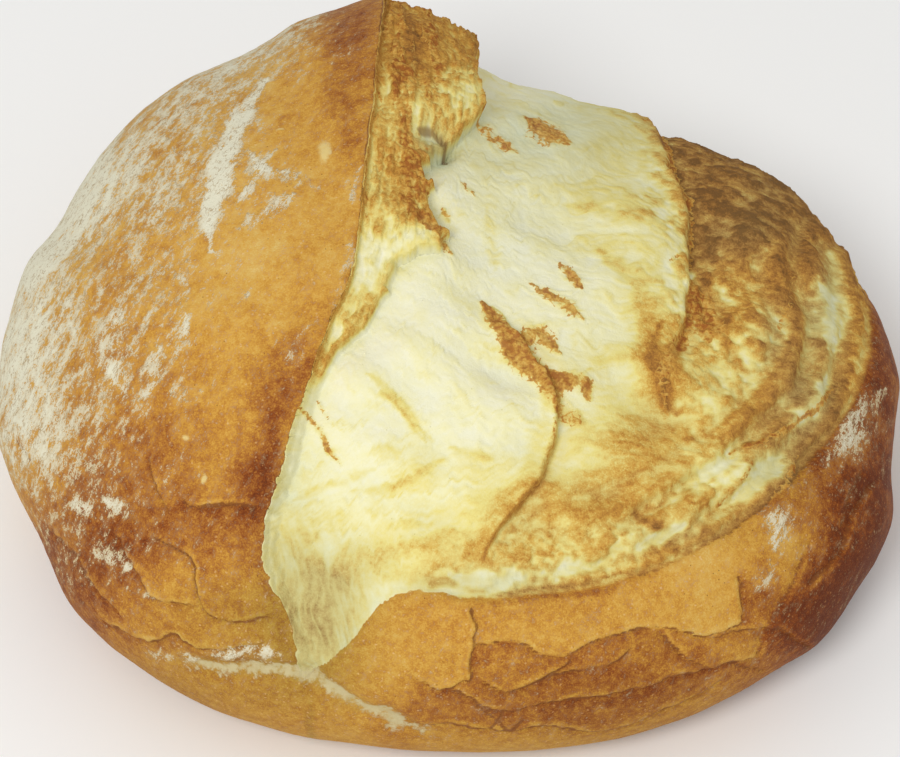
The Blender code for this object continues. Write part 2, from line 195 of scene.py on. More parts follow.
# Painted marks. A spot is (middle, reach, amount) and a band is (points, half width, amount)
BAKE = 0.47  # of the crust where nothing else is said: 0 is pale and 1 is dark red-brown
# Crust baked darker, and painted shade: spots that darken the crust towards its right side and its bottom,
# where it turns from the light
BAKE_AND_SHADE_SPOTS = (
    ((-53, -31), (7, 8), 0.30), ((-48, -12), (8, 15), 0.26), ((-40, 4), (5, 10), 0.16),
    ((-27, 82), (9, 26), 0.25), ((-30, 99), (18, 8), 0.16), ((-56, -48), (14, 10), 0.10),
    ((-74, -44), (30, 14), 0.10), ((-96, -46), (24, 22), 0.20), ((-112, -60), (20, 20), 0.15),
    ((-50, 56), (16, 16), -0.08), ((-58, 26), (18, 20), -0.08), ((-70, -14), (20, 18), 0.06),
    ((-90, -4), (16, 26), 0.1), ((-60, -62), (16, 8), -0.02), ((-30, 38), (8, 16), -0.06),
    ((-86, -84), (26, 12), 0.02), ((-40, -96), (40, 10), -0.02), ((118, -50), (16, 34), 0.42),
    ((124, 0), (8, 36), 0.34), ((108, -74), (16, 20), 0.34), ((60, -97), (40, 14), 0.10),
    ((36, -67), (60, 7), 0.06), ((-14, -76), (14, 8), -0.03), ((0, -102), (40, 6), 0.08),
    ((90, -40), (10, 12), 0.12), ((50, -88), (50, 12), 0.05), ((112, -38), (14, 30), 0.08),
    ((-58, -72), (34, 14), 0.07), ((-66, -94), (40, 10), 0.08), ((-86, -22), (22, 18), 0.12),
    ((88, -56), (7, 16), 0.08), ((90, -64), (9, 12), 0.14), ((103, -53), (10, 9), -0.14),
    ((57, -87), (14, 6), 0.05), ((10, -105), (70, 4), -0.10),
)
BAKE_BANDS = (
    (((-22, 100), (-24, 70), (-27, 40), (-33, 14)), 3.0, 0.02),
    (((9, -65.5), (40, -62.5), (60, -57)), 1.4, 0.16),
    (((118, 34), (121, 12), (117, -8), (103, -28)), 5.0, 0.16),
)
TOAST = 0.09  # of the crumb: 0 is white, 0.5 is yellow and 1 is as dark as the crust
TOAST_BEND = 0.6  # above this the painted toast is held back, so that it only nears the sum of the two
TOAST_ROOM = 0.31
PALE_WINDOW = -0.2  # bands with less than this are hollow windows in the swirl
TOAST_SPOTS = (
    ((102, 54), (26, 18), 0.94), ((78, 76), (20, 13), 0.88), ((98, 22), (16, 22), 0.50),
    ((80, 30), (14, 20), 0.34), ((98, -8), (16, 16), 0.40), ((60, -22), (22, 12), 0.36),
    ((86, -14), (12, 10), 0.30), ((74, 56), (8, 14), 0.40), ((42, -38), (26, 11), 0.40),
    ((20, -50), (18, 6), 0.26), ((62, 0), (8, 13), 0.30), ((-10, -58), (14, 5), 0.20),
    ((48, -6), (12, 10), 0.12), ((50, 55), (18, 26), 0.14), ((56, 20), (10, 16), 0.16),
    ((-36, -66), (12, 16), 0.38), ((10, -56), (16, 4), 0.15), ((82, 30), (8, 10), -0.04),
    ((99, -12), (8, 8), -0.10), ((-14, -48), (22, 8), 0.14), ((-6, -40), (26, 12), 0.06),
    ((72, 2), (9, 10), 0.16), ((66, -40), (20, 6), 0.10), ((10, -32), (10, 12), 0.06),
    ((20, 30), (20, 20), -0.04), ((-20, 5), (14, 16), -0.05), ((-34, -74), (10, 10), 0.06),
    ((36, 66), (20, 10), -0.03), ((-13, -14), (6, 18), 0.05), ((28, 62), (30, 3), 0.04),
)
TOAST_AND_SHADE_BANDS = (
    (((-2, -60), (20, -60), (40, -57), (60, -51), (80, -41), (96, -28), (108, -10), (113, 8)), 5.0, 0.30),
    # painted shade: a soft brown line along the fold's step, where the fold shades the crumb
    (FOLD[0], 1.5, 0.22),
    (((5, -52), (12, -44), (22, -30), (27, -16), (26, -4)), 3.0, 0.12),
    (((-22, 0), (-14, -7), (-8, -15), (-2, -20)), 1.8, 0.15),
    (((-16, -6), (-10, -14), (-4, -21)), 0.6, 0.10),
    (((-42, -36), (-32, -33), (-20, -28)), 1.8, 0.15),
    (((-26, -35), (-14, -33), (0, -26)), 1.8, 0.12),
    (((2, -22), (12, -26)), 1.6, 0.10),
    (((16, 50), (17, 40), (18, 30)), 1.6, 0.12),
    (((52, 24), (56, 14), (54, 4)), 2.4, 0.14),
    (((44, 34), (50, 26), (60, 24)), 1.6, 0.14),
    (((36, 48), (46, 44), (58, 42)), 2.0, 0.12),
    (((60, 12), (58, 4), (61, -6), (66, -12)), 2.2, 0.30),
    (((62, 77), (70, 64), (73.5, 50), (74, 34), (72, 18)), 3.0, 0.42),
    (((72, 28), (78, 16), (80, 6), (86, 0)), 2.6, 0.20),
    (((80, 22), (90, 28), (96, 20), (97, 10), (90, 2)), 1.2, 0.14),
    (((111, 30), (114, 20), (115, 6), (112, -6)), 1.8, 0.2),
    (((52, -38), (58, -44), (66, -44)), 1.2, 0.2),
    (((9, -63.5), (24, -62), (38, -60), (50, -57.5)), 1.0, 0.3),
    (((103, 25), (106, 18), (107.5, 12), (106, 6)), 2.2, -0.40),
    (((107, -3), (102, -10), (96, -16)), 3.0, -0.40),
    (((95, -24), (89, -31), (82, -37)), 2.4, -0.36),
    (((68, -43), (62, -46), (55, -50)), 1.8, -0.30),
    (((44, -54), (38, -55.5), (31, -57)), 1.5, -0.28),
    (((20, -58), (12, -59.5), (2, -58)), 2.6, -0.28),
    (((92, 18), (95, 10), (93, 3)), 1.4, -0.16),
    (((84, 34), (88, 24), (88, 14)), 1.8, -0.12),
    (((71, 32), (73, 22), (78, 16)), 1.6, -0.16),
)
# Torn scraps of the crust that stayed on the crumb, and its deep creases, whose darkening is partly painted
# shade
SCABS_AND_CREASE_SHADE = (
    (((13, 20), (16, 13), (19, 8), (23, 3)), 2.8, 1.1),
    (((18, 10), (23, 3), (28, -3), (31, -11)), 4.6, 0.95),
    (((22, 9), (28, 11), (33, 6)), 2.8, 0.85),
    (((28, 0), (33, -3), (38, -4), (40, -9)), 2.4, 0.85),
    (((30, -9), (34, -13), (39, -15)), 2.2, 0.6),
    (((30, -14), (29.5, -24), (26, -31), (18, -41)), 1.3, 0.42),
    (((26, 26), (30, 22), (35, 18), (40, 14)), 2.0, 0.80),
    (((33, 32), (36, 28), (39, 23)), 1.6, 0.82),
    (((14, 77), (19, 72), (25, 66)), 2.0, 0.70),
    (((28, 76), (33, 71), (37, 66)), 3.4, 0.84),
    (((8, 58.5), (12.6, 54)), 1.0, 0.55),
    (((1.0, 50.5), (4.3, 46.3)), 1.4, 0.7),
    (((-41, -10), (-36, -17), (-29.5, -27)), 0.9, 0.8),
    (((-36, -8), (-33, -14)), 0.7, 0.6),
    (((45, 78), (58, 67), (64, 56), (68, 47)), 1.4, 0.7),
    (((70, 26), (73, 17), (74, 9)), 3.2, 0.8),
    (((72, 24), (76, 14), (80, 8)), 3.0, 0.6),
    (((70, 20), (66, 8), (60, -2), (63, -12)), 2.6, 0.62),
    (((62, 30), (66, 32), (69, 30)), 1.0, 0.6),
    (((110, -4), (104, -10), (92, -19), (80, -23)), 1.3, 0.85),
    (((99, -24), (96, -30), (90, -39)), 1.1, 0.7),
    (((86, -25), (81, -33), (76, -40)), 1.0, 0.55),
    (((-12, 49), (-7, 44), (-2, 39), (3, 34.5)), 2.3, 0.82),
    (((-13, 96), (-12.5, 80), (-11, 64), (-10, 50)), 2.2, 0.62),
    (((-4, 100), (-2, 88), (-1, 78)), 1.5, 0.6),
    (((-7, 62), (-5.5, 56), (-7, 50)), 2.4, 0.75),
    (((98, 30), (96, 18), (92, 8)), 1.2, 0.5),
)
# Bubbles in the crumb: bands of them, each with its count and how far they stray from it
BUBBLE_BANDS = (
    (((2, -58), (20, -58), (40, -54), (60, -47.5), (78, -38), (92, -26)), 30, 2.8),
    (((28, -46), (45, -39), (62, -33), (78, -22)), 26, 8.0),
)
BUBBLE_REACH_MM = (1.6, 4.0)
BUBBLE_SEED = 31
STRIP_TOAST = 0.49
STRIP_SPOTS = (
    ((-20, 55), (2.5, 9), -0.14), ((-20.5, 44), (2.5, 8), -0.04), ((-17, 80), (4, 7), -0.06),
    ((7, 80), (8, 11), -0.15), ((-12, 58), (4, 18), 0.10), ((-3, 60), (4, 12), 0.08),
    ((-20, 29), (8, 9), -0.30), ((-14, 36), (6, 5), -0.08), ((-30, 8), (6, 10), -0.20),
    ((-2, 67.5), (7, 4), -0.26), ((-8, 75), (3, 5), -0.18), ((-7, 36), (8, 6), -0.36),
    ((-9, 92), (10, 10), 0.32), ((10, 94), (8, 6), 0.18),
)
# Painted shade: spots where the surface is made darker and greyer, where it turns from the light, lies low or
# lies in a recess
SHADE_SPOTS = (
    ((35, 66), (34, 10), 0.55), ((24, 76), (26, 8), 0.5), ((-37, -71), (15, 20), 1.0),
    ((-28, -62), (14, 10), 0.3), ((96, 56), (26, 16), 0.5), ((-2, 67.5), (8, 4.5), 1.0),
    ((106, 16), (5, 14), 0.8), ((12, -60), (18, 5), 0.5), ((101, -10), (8, 10), 0.7),
    ((92, -28), (10, 10), 0.5), ((66, -46), (16, 4), 0.3), ((-44, -42), (8, 20), 0.4),
    ((20, 40), (30, 20), 0.2), ((84, 38), (10, 8), 0.5), ((92, 10), (5, 10), 0.5),
    ((-66, -88), (44, 12), 0.55), ((20, -104), (60, 7), 0.30), ((-104, -56), (14, 18), 0.1),
    ((-60, -68), (20, 10), 0.45), ((112, -62), (14, 24), 0.15), ((50, -92), (40, 10), 0.3),
)
# The headings along which the crumb was drawn out as it tore: (middle, reach, heading in degrees)
CRUMB_FLOW = (
    ((25, 65), (45, 26), -38), ((-12, 14), (28, 22), -36), ((10, 34), (24, 16), -12),
    ((-18, -32), (34, 15), 14), ((-38, -72), (16, 22), 100), ((50, 25), (22, 36), -10),
    ((30, -50), (40, 14), 14),
)
FLOUR_SPOTS = (
    ((-122, 12), (18, 50), 0.62), ((-114, -10), (18, 24), 0.30), ((-92, -30), (26, 14), 0.15),
    ((-96, 24), (20, 34), 0.18), ((-76, 44), (20, 26), 0.24), ((-72, -8), (5, 4), 0.34),
    ((-55, 20.6), (2.4, 4), 0.3), ((-47, 8.5), (3, 3), 0.22), ((-41.7, 2.4), (3, 3), 0.22),
    ((-42, 27), (3, 4), 0.12), ((-62, 68), (16, 18), 0.20), ((-78, 8), (12, 26), 0.18),
    ((-96, -8), (14, 20), 0.20), ((-50, 90), (24, 12), 0.26), ((-104, -52), (16, 16), 0.14),
    ((-58, 52), (16, 14), 0.14), ((-40, 40), (30, 40), 0.04), ((112, -20), (12, 14), 0.2),
    ((93, -46), (6, 9), 0.22), ((-98, 50), (16, 14), 0.32), ((-88, 12), (14, 16), 0.08),
    ((-104, -4), (8, 12), -0.16), ((-112, 32), (8, 14), 0.2), ((-84, -52), (20, 12), 0.12),
    ((-56, -80), (18, 4), 0.2),
)
FLOUR_BANDS = (
    (((-116, 26), (-94, 58), (-68, 82), (-40, 99), (-24, 105)), 10.0, 0.42),
    (((-50, 80), (-58, 66), (-63, 54), (-65, 44), (-66, 32)), 3.1, 0.62),
    (((-54, 60), (-48, 54), (-40, 51)), 1.8, 0.36),
    (((-56, 78), (-72, 60), (-82, 40)), 6.0, 0.12),
    (((-43, 48), (-50, 43), (-57, 38)), 2.2, 0.44),
    (((-47, 60), (-53, 52), (-58, 46)), 1.6, 0.34),
    (((-34, 49), (-40, 53), (-50, 56)), 1.0, 0.34),
    (((-76, 27), (-72, 20), (-75, 4)), 2.2, 0.26),
    (((-71.5, 16), (-71, 5)), 1.2, 0.32),
    (((-80, 6), (-83, -8)), 2.4, 0.26),
    (((-90, 16), (-92, 4), (-88, -8)), 4.0, 0.2),
    (((-26.5, 44), (-23.5, 54)), 2.0, 0.40),
    (((-32, 14), (-28, 24), (-25, 36)), 2.0, 0.42),
    (((-46, -8), (-42, 4), (-36, 14)), 2.4, 0.24),
    (((90, -36), (92, -43), (92, -50)), 4.4, 0.38),
    (((90, -53), (87, -62)), 2.4, 0.42),
    (((122, -6), (117, -10), (113, -18), (106, -27)), 4.4, 0.40),
    (((-84, -80), (-70.7, -82.6)), 3.0, 0.4),
    (((-65.6, -80.3), (-56, -79), (-45, -79.5)), 2.6, 0.46),
    (((-95, -36), (-85.5, -41.7)), 2.0, 0.45),
    (((-103, -38), (-97, -41)), 2.2, 0.45),
    (((-98, -52), (-88, -55)), 2.2, 0.4),
    (((-90, -60), (-80, -64)), 1.6, 0.3),
)
PALE_BLISTERS = (
    ((-33.5, 59.5), (2.0, 3.2)), ((-72, -19), (1.3, 0.8)), ((-46, 66), (1.2, 0.5)), ((-67, -31), (1.0, 1.6)),
)
DUSTED_BASE = 0.25

# The photograph's frame, the floor and the light
PHOTO_WIDTH_PX = 900
MM_PER_PX = 0.2784
SHIFT_PX = (5, -10.5)
SENSOR_MM = 36.0
BOX_MARGIN_MM = 0.01  # by which the skin stays inside the CAD box
FLOOR_HALF_M = 4.0
FLOOR_COLOUR = (0.93, 0.93, 0.92, 1.0)
SKY_STRENGTH = 0.66
KEY_LIGHT = {"at": (-0.42, -1.0, 1.25), "target": (-0.03, -0.02, 0.05), "size": 0.6, "watts": 11.5,
             "colour": (1.0, 0.99, 0.97)}


def axes_at(tilt):
    """Unit directions towards an eye looking down at a tilt, and upwards as that eye sees it."""
    towards = np.array([0.0, -math.cos(tilt), math.sin(tilt)])
    return towards, np.array([0.0, math.sin(tilt), math.cos(tilt)])


ACROSS = np.array([1.0, 0.0, 0.0])
TOWARDS_EYE, UPWARD = axes_at(FACE_TILT)


def smooth(values, low, high):
    """0 at low and 1 at high, with no corner at either."""
    share = np.clip((values - low) / (high - low), 0.0, 1.0)
    return share * share * (3.0 - 2.0 * share)


def stations(pairs, at):
    """The size at a place up the face, from (place, size) pairs."""
    places, sizes = np.array(pairs, float).T
    return np.interp(at, places, sizes)


def hill(values, width):
    """1 at 0, dying away on both sides over a width."""
    return np.exp(-((values / width) ** 2))


def fading(values, reach):
    """1 up to 0, dying away past it over a reach."""
    return np.exp(-np.maximum(values, 0) / reach)


def curve_through(points, closed=False, steps=8):
    """A smooth line through the points, as many short straight ones."""
    points = np.array(points, float)
    if closed:
        padded = np.vstack([points[-1:], points, points[:2]])
    else:
        padded = np.vstack([2 * points[0] - points[1], points, 2 * points[-1] - points[-2]])
    share = np.linspace(0.0, 1.0, steps, endpoint=False)[:, None]
    pieces = []
    for before, start, end, after in zip(padded, padded[1:], padded[2:], padded[3:]):
        leave, arrive = (end - before) / 2, (after - start) / 2
        pieces.append(
            (2 * share**3 - 3 * share**2 + 1) * start + (share**3 - 2 * share**2 + share) * leave
            + (3 * share**2 - 2 * share**3) * end + (share**3 - share**2) * arrive
        )
    line = np.vstack(pieces)
    return np.vstack([line, points[:1] if closed else points[-1:]])


def beside(places, line):
    """Distance from a line, positive on its left, and how far along it each place lies, from 0 to 1."""
    ways = np.diff(line, axis=0)
    lengths = np.hypot(*ways.T)
    run = np.concatenate([[0.0], np.cumsum(lengths)]) / lengths.sum()
    nearest = np.full(len(places), np.inf)
    side = np.ones(len(places))
    along = np.zeros(len(places))
    for start, way, before, after in zip(line, ways, run, run[1:]):
        share = np.clip((places - start) @ way / (way @ way), 0.0, 1.0)
        gap = places - start - share[:, None] * way
        distance = np.hypot(*gap.T)
        closer = distance < nearest
        nearest[closer] = distance[closer]
        side[closer] = np.sign(way[0] * gap[closer, 1] - way[1] * gap[closer, 0])
        along[closer] = before + share[closer] * (after - before)
    return nearest * side, along


def dough_level(points):
    """Under 1 inside the two lobes of dough, and over 1 outside them."""
    levels = []
    for middle, half_width, half_depth, rise, fall in (DOME_LOBE, SHOULDER_LOBE):
        offset = points - np.array(middle)
        plan = np.hypot(offset[..., 0] / half_width, offset[..., 1] / half_depth)
        height = offset[..., 2]
        upper = height > 0
        power = np.where(upper, CROWN_ROUNDNESS, FLANK_ROUNDNESS)
        reach = np.abs(height) / np.where(upper, rise, fall)
        levels.append((plan**power + reach**power) ** (1 / power))
    return -np.log(sum(np.exp(-LOBE_BLEND * level) for level in levels)) / LOBE_BLEND


def dough_surface(directions):
    """Where a ray from the core in each direction leaves the dough, from the core."""
    near = np.full(directions.shape[:-1], 20.0)
    far = np.full(directions.shape[:-1], 200.0)
    for _ in range(26):
        middle = (near + far) / 2
        inside = dough_level(CORE + directions * middle[..., None]) < 1.0
        near = np.where(inside, middle, near)
        far = np.where(inside, far, middle)
    return directions * near[..., None]


def on_face(offsets):
    """Places on the face of points given from the core, as the eye sees them."""
    scale = SIGHT_MM / (SIGHT_MM - offsets @ TOWARDS_EYE)
    return np.stack([offsets @ ACROSS * scale, offsets @ UPWARD * scale], axis=-1)


def directions_round(tilt, angle, turn):
    """Directions at an angle from the line to the eye at a tilt, turned round it from the right."""
    towards, upward = axes_at(tilt)
    aside = np.cos(turn)[..., None] * ACROSS + np.sin(turn)[..., None] * upward
    return np.cos(angle)[..., None] * towards + np.sin(angle)[..., None] * aside


def outline_radius():
    """The drawn outline's radius against its angle, as two lists, and the dough's own at those angles."""
    line = curve_through(OUTLINE, closed=True)[:-1]
    turns = np.arctan2(line[:, 1], line[:, 0])
    order = np.argsort(turns)
    turns, radii = turns[order], np.hypot(*line[order].T)
    sweep, all_turns = np.meshgrid(np.radians(np.linspace(60.0, 125.0, 40)), turns)
    seen = on_face(dough_surface(directions_round(FACE_TILT, sweep, all_turns)))
    return turns, radii, np.hypot(seen[..., 0], seen[..., 1]).max(axis=1)


TURNS, OUTLINE_RADII, DOUGH_RADII = outline_radius()


def skin(across, up):
    """Points of the unbroken loaf, from the core, for places on the square sheet that wraps it."""
    right = across * np.sqrt(1 - up**2 / 2)
    above = up * np.sqrt(1 - across**2 / 2)
    turn = np.arctan2(above, right)
    angle = 2 * np.arcsin(np.hypot(right, above) * math.sin(WRAP_ANGLE / 2))
    offsets = dough_surface(directions_round(WRAP_TILT, angle, turn))
    turn = np.arctan2(offsets @ UPWARD, offsets @ ACROSS)
    trim = np.interp(turn, TURNS, OUTLINE_RADII / DOUGH_RADII, period=2 * math.pi)[..., None]
    depth = (offsets @ TOWARDS_EYE)[..., None] * TOWARDS_EYE
    return depth + (offsets - depth) * trim


def unfolded(offsets, hidden):
    """Places on the face, with what is hidden from the eye folded out beyond the outline."""
    places = on_face(offsets)
    turn = np.arctan2(places[..., 1], places[..., 0])
    radius = np.hypot(places[..., 0], places[..., 1])
    edge = np.interp(turn, TURNS, OUTLINE_RADII, period=2 * math.pi)
    far = np.where(hidden, 2 * edge - radius, radius)
    return places * (far / np.maximum(radius, 1e-6))[..., None]


def normals_of(points):
    """Outward unit normals of a grid of points whose rows run up and whose columns run to the right."""
    normals = np.cross(np.gradient(points, axis=1), np.gradient(points, axis=0))
    return normals / np.maximum(np.linalg.norm(normals, axis=-1, keepdims=True), 1e-9)


def hidden_from_eye(offsets, normals):
    return np.sum(normals * (SIGHT_MM * TOWARDS_EYE - offsets), axis=-1) < 0


def lip_at(up_face):
    line = curve_through(LIP)[::-1]
    return np.interp(up_face, line[:, 1], line[:, 0])


def sheet_columns():
    """Where the sheet's columns and rows lie, with one column bent to run along the lip."""
    even = np.linspace(-1.0, 1.0, CELLS + 1)
    even = even * (1 - FACE_CROWDING + FACE_CROWDING * even**2)
    up, across = np.meshgrid(even, even, indexing="ij")
    points = skin(across, up)
    places = unfolded(points, hidden_from_eye(points, normals_of(points)))
    right_of_lip = places[..., 0] - lip_at(places[..., 1])
    lip = np.array([np.interp(0.0, row, even) for row in right_of_lip])
    middle = even[round(LIP_COLUMN_SHARE * CELLS)]
    shares = np.where(even < middle, (middle - even) / (middle + 1), (even - middle) / (1 - middle))
    shares = shares**LIP_CROWDING
    left = lip[:, None] - shares * (lip[:, None] + 1)
    right = lip[:, None] + shares * (1 - lip[:, None])
    return np.where(even < middle, left, right), up


def lattice_noise(points, seed):
    """Smooth random values from -1 to 1 that change over about 1, for points in two or three axes."""
    table = np.random.default_rng(seed).uniform(-1.0, 1.0, 4096)
    floor = np.floor(points)
    share = points - floor
    share = share * share * (3 - 2 * share)
    primes = np.array([73856093, 19349663, 83492791])[: points.shape[-1]]
    low = floor.astype(np.int64) * primes
    total = np.zeros(len(points))
    for corner in itertools.product((0, 1), repeat=points.shape[-1]):
        key = np.zeros(len(points), np.int64)
        weight = np.ones(len(points))
        for axis, side in enumerate(corner):
            key ^= low[:, axis] + side * primes[axis]
            weight *= share[:, axis] if side else 1 - share[:, axis]
        total += weight * table[(key ^ (key >> 13)) & 4095]
    return total


def cloud(points, size, octaves, seed):
    """Lattice noise with finer noise laid over it, each level turned against the last."""
    total = np.zeros(len(points))
    spin = np.eye(points.shape[-1])
    spin[:2, :2] = [[0.8, 0.6], [-0.6, 0.8]]
    scaled = points / size
    for level in range(octaves):
        total += lattice_noise(scaled + 7.3 * level, seed + level) / 2**level
        scaled = 2.03 * scaled @ spin
    return total / (2 - 2 ** (1 - octaves))


def near_line(places, line, reach):
    """Distance from a line and place along it, as beside gives, but only worked out within a reach."""
    distance = np.full(len(places), BEYOND_REACH_MM)
    along = np.zeros(len(places))
    box = (places > line.min(axis=0) - reach) & (places < line.max(axis=0) + reach)
    near = np.all(box, axis=1)
    distance[near], along[near] = beside(places[near], line)
    return distance, along


def band_share(places, points, half_width):
    """1 along the middle of a band, fading over its half width, and tapering to its ends."""
    distance, along = near_line(places, curve_through(points, steps=4), 3 * half_width)
    taper = 0.35 + 0.65 * smooth(along, 0, 0.25) * (1 - smooth(along, 0.75, 1.0))
    return np.exp(-np.abs(distance / (half_width * taper)) ** 2.5)


def bump(places, middle, reach, height):
    return height * np.exp(-(((places - np.array(middle)) / np.array(reach)) ** 2).sum(axis=1))


def painted(places, spots, bands=()):
    """The sum of all spots and bands at each place."""
    total = np.zeros(len(places))
    for middle, reach, amount in spots:
        total += bump(places, middle, reach, amount)
    for points, half_width, amount in bands:
        total += amount * band_share(places, points, half_width)
    return total


class Surface:
    """The sheet's points with all that is known of them, as flat arrays."""

    def __init__(self):
        across, up = sheet_columns()
        self.shape = across.shape
        offsets = skin(across, up)
        normals = normals_of(offsets)
        self.places = unfolded(offsets, hidden_from_eye(offsets, normals)).reshape(-1, 2)
        self.skin = (CORE + offsets).reshape(-1, 3)
        self.normals = normals.reshape(-1, 3)
        self.lay_out()
        self.lay_cracks()
        self.draw_fibres()
        heights = self.relief()
        self.hollow = self.hollowness(heights)
        self.paint_crust()
        self.paint_crumb()
        self.paint_shade()
        self.paint_flour()
        self.points = self.raised(heights) - FOOTPRINT_MIDDLE

    def raised(self, heights):
        """The points moved out by their heights, rounded where they near the base and flat under it."""
        points = self.skin + self.normals * heights[:, None]
        height = points[:, 2]
        rounded = (height + BASE_EDGE_MM) ** 2 / (4 * BASE_EDGE_MM)
        rounded[height < -BASE_EDGE_MM] = 0.0
        points[:, 2] = np.where(height > BASE_EDGE_MM, height, rounded)
        return points

    def partly_ragged(self, share):
        """The places, pushed about by a share of what makes edges ragged."""
        return share * self.ragged + (1 - share) * self.places

    def lay_out(self):
        """Where each point lies against the lip, the torn strip and the ring's edge, and how rough it is."""
        places, up = self.places, self.places[:, 1]
        self.rough_fine = cloud(self.skin, 1.9, 2, 110)
        self.rough = cloud(self.skin, 4.5, 3, 114)
        self.lumps = cloud(self.skin, 9.0, 2, 118)
        warp = np.stack([cloud(self.skin, 8, 4, 50), cloud(self.skin, 8, 4, 60)], axis=-1)
        self.ragged = places + 2.4 * warp
        self.jagged = places + 1.3 * warp + 0.5 * self.rough_fine[:, None]
        self.from_lip = places[:, 0] - lip_at(up) + 0.35 * self.rough_fine - bump(places, *LIP_SWELL)
        self.from_lip += (1 - smooth(up, -45, 5)) * (1.5 * self.rough + 0.5 * self.rough_fine)
        curve = curve_through(RING_EDGE[0], steps=5)
        self.ring, self.round_ring = beside(places + 1.1 * warp, curve)
        spikes = np.maximum(cloud(places / np.array([28.0, 3.0]), 1.0, 2, 70), 0) ** 1.4
        spikes = 11 * spikes * smooth(up, 12, 40) * (1 - smooth(up, 66, 76))
        self.strip_end = stations(TORN_STRIP_WIDTH, self.ragged[:, 1] + 0.8 * self.rough) + spikes
        self.strip_end += 3.0 * self.lumps * smooth(up, 84, 110)
        past = self.from_lip - self.strip_end
        self.on_strip = smooth(self.from_lip, 0, 0.6) * (1 - smooth(past, 0.7, 1.7)) * smooth(up, -9, 3)
        softness = 0.35 + 1.6 * smooth(places[:, 0], -5, 25)
        inside_ring = smooth(-self.ring / softness, -1, 1)
        uneven = up + 12 * self.lumps + 4 * self.rough
        ends = smooth(up, -92, -80) * (1 - smooth(uneven, *BURST_END_MM))
        above_base = smooth(self.skin[:, 2] + 8 * self.lumps + 3 * self.rough, *BURST_ABOVE_BASE_MM)
        ends *= np.where(up > 95, above_base, 1.0)
        self.crumb = smooth(self.from_lip, -0.2, 0.5) * inside_ring * ends
        swirl = smooth(places[:, 0] + 0.15 * up, 56, 76) * (1 - smooth(up, 70, 95)) * (up > -60)
        low_band = 1 - smooth(-self.ring, 12, 26)
        self.swirl = np.maximum(swirl, low_band * smooth(places[:, 0], -5, 25))

    def lay_cracks(self):
        """How the cracks between plates darken the crust, open it and lift its plates."""
        self.darkening, self.crack, self.crack_rim, self.plates = np.zeros((4, len(self.places)))
        broken = np.clip(1.0 + 0.9 * self.rough, 0, 1.3)
        for points, darker, reach in CRUST_CRACKS:
            side, along = near_line(self.jagged, curve_through(points, steps=4), 2.5 * reach)
            away = np.abs(side)
            inner = (side < BEYOND_REACH_MM) * smooth(along, 0.0, 0.08) * (1 - smooth(along, 0.92, 1.0))
            lower = smooth(-side, -0.3, 0.3) * np.exp(-away / reach)
            self.darkening += (darker * lower + 0.05 * np.exp(-np.abs(side + 0.8) / 1.6)) * inner
            self.crack = np.maximum(self.crack, hill(side, 0.5) * inner * broken)
            self.crack_rim = np.maximum(self.crack_rim, hill(side - 0.9, 0.6) * inner)
            upper = smooth(side, -0.35, 0.35)
            lift, drop = upper * np.exp(-away / 3.5), (1 - upper) * np.exp(-away / 3.0)
            self.plates += (0.50 * lift - 0.38 * drop) * inner
        for points, half_width in SLITS:
            side, _ = near_line(self.jagged, curve_through(points, steps=4), 5)
            self.crack = np.maximum(self.crack, 1.1 * hill(side, half_width))

    def streaks(self, where, heading, length, width, octaves, seed):
        """Noise drawn out along a heading on the face."""
        way = np.array([math.cos(heading), math.sin(heading)])
        aside = np.array([-way[1], way[0]])
        bent = self.bent[where]
        drawn = np.stack([bent @ way / length, bent @ aside / width], axis=-1)
        return cloud(drawn, 1.0, octaves, seed)

    def draw_fibres(self):
        """Long and short streaks over the crumb, which follow the way it was drawn out."""
        self.bent = self.places + 3.0 * np.stack([self.lumps, np.roll(self.lumps, 977)], axis=-1)
        on = np.where(self.crumb > 0)[0]
        near = [bump(self.places[on], middle, reach, 1.0) + 1e-4 for middle, reach, _ in CRUMB_FLOW]
        total = sum(near)
        self.layers, self.threads = np.zeros(len(self.places)), np.zeros(len(self.places))
        for number, (share, (_, _, heading)) in enumerate(zip(near, CRUMB_FLOW)):
            heading = math.radians(heading)
            weight = np.sqrt(share / total)
            self.layers[on] += weight * self.streaks(on, heading, 15, 4.2, 3, 200 + 10 * number)
            self.threads[on] += weight * self.streaks(on, heading, 5.0, 0.9, 2, 205 + 10 * number)
        ring_mm = np.stack([-self.ring / 3.4, self.round_ring * RING_LENGTH_MM / 11], axis=-1)
        ring_mm += 0.9 * self.rough[:, None] + 0.7 * self.lumps[:, None]
        around = cloud(ring_mm, 1.0, 3, 300)
        around_fine = cloud(ring_mm * np.array([3.0, 2.6]), 1.0, 2, 310)
        risen, nearer = self.skin @ UPWARD / 12, self.skin @ TOWARDS_EYE / 12
        strip_mm = np.stack([self.from_lip / 2.6, risen, nearer], axis=-1) + 0.35 * self.rough[:, None]
        down = cloud(strip_mm, 1.0, 3, 320)
        down_fine = cloud(strip_mm * np.array([2.6, 3.2, 3.2]), 1.0, 2, 330)
        near_ring = 1 - smooth(-self.ring, 16, 34)
        around = around * near_ring + self.rough * (1 - near_ring)
        around_fine = around_fine * near_ring + self.rough_fine * (1 - near_ring)
        self.ridge = np.maximum(1 - 3.2 * np.abs(cloud(self.skin, 5.5, 3, 140)), 0)
        self.layers += (around - self.layers) * self.swirl
        self.threads += (around_fine - self.threads) * self.swirl
        self.layers += (down - self.layers) * self.on_strip
        self.threads += (down_fine - self.threads) * self.on_strip
        self.cliff = smooth(self.layers, 0.06, 0.14)
        self.cliff_edge = hill(self.layers - 0.09, 0.06)

    def beyond_sheet(self):
        """Distance past the sheet's torn edge, and 1 where it has one."""
        line = curve_through(SHEET_EDGE[0], steps=5)
        distance, along = near_line(self.partly_ragged(0.5), line, 60)
        return -distance, smooth(along, 0.0, 0.1) * (distance < BEYOND_REACH_MM)

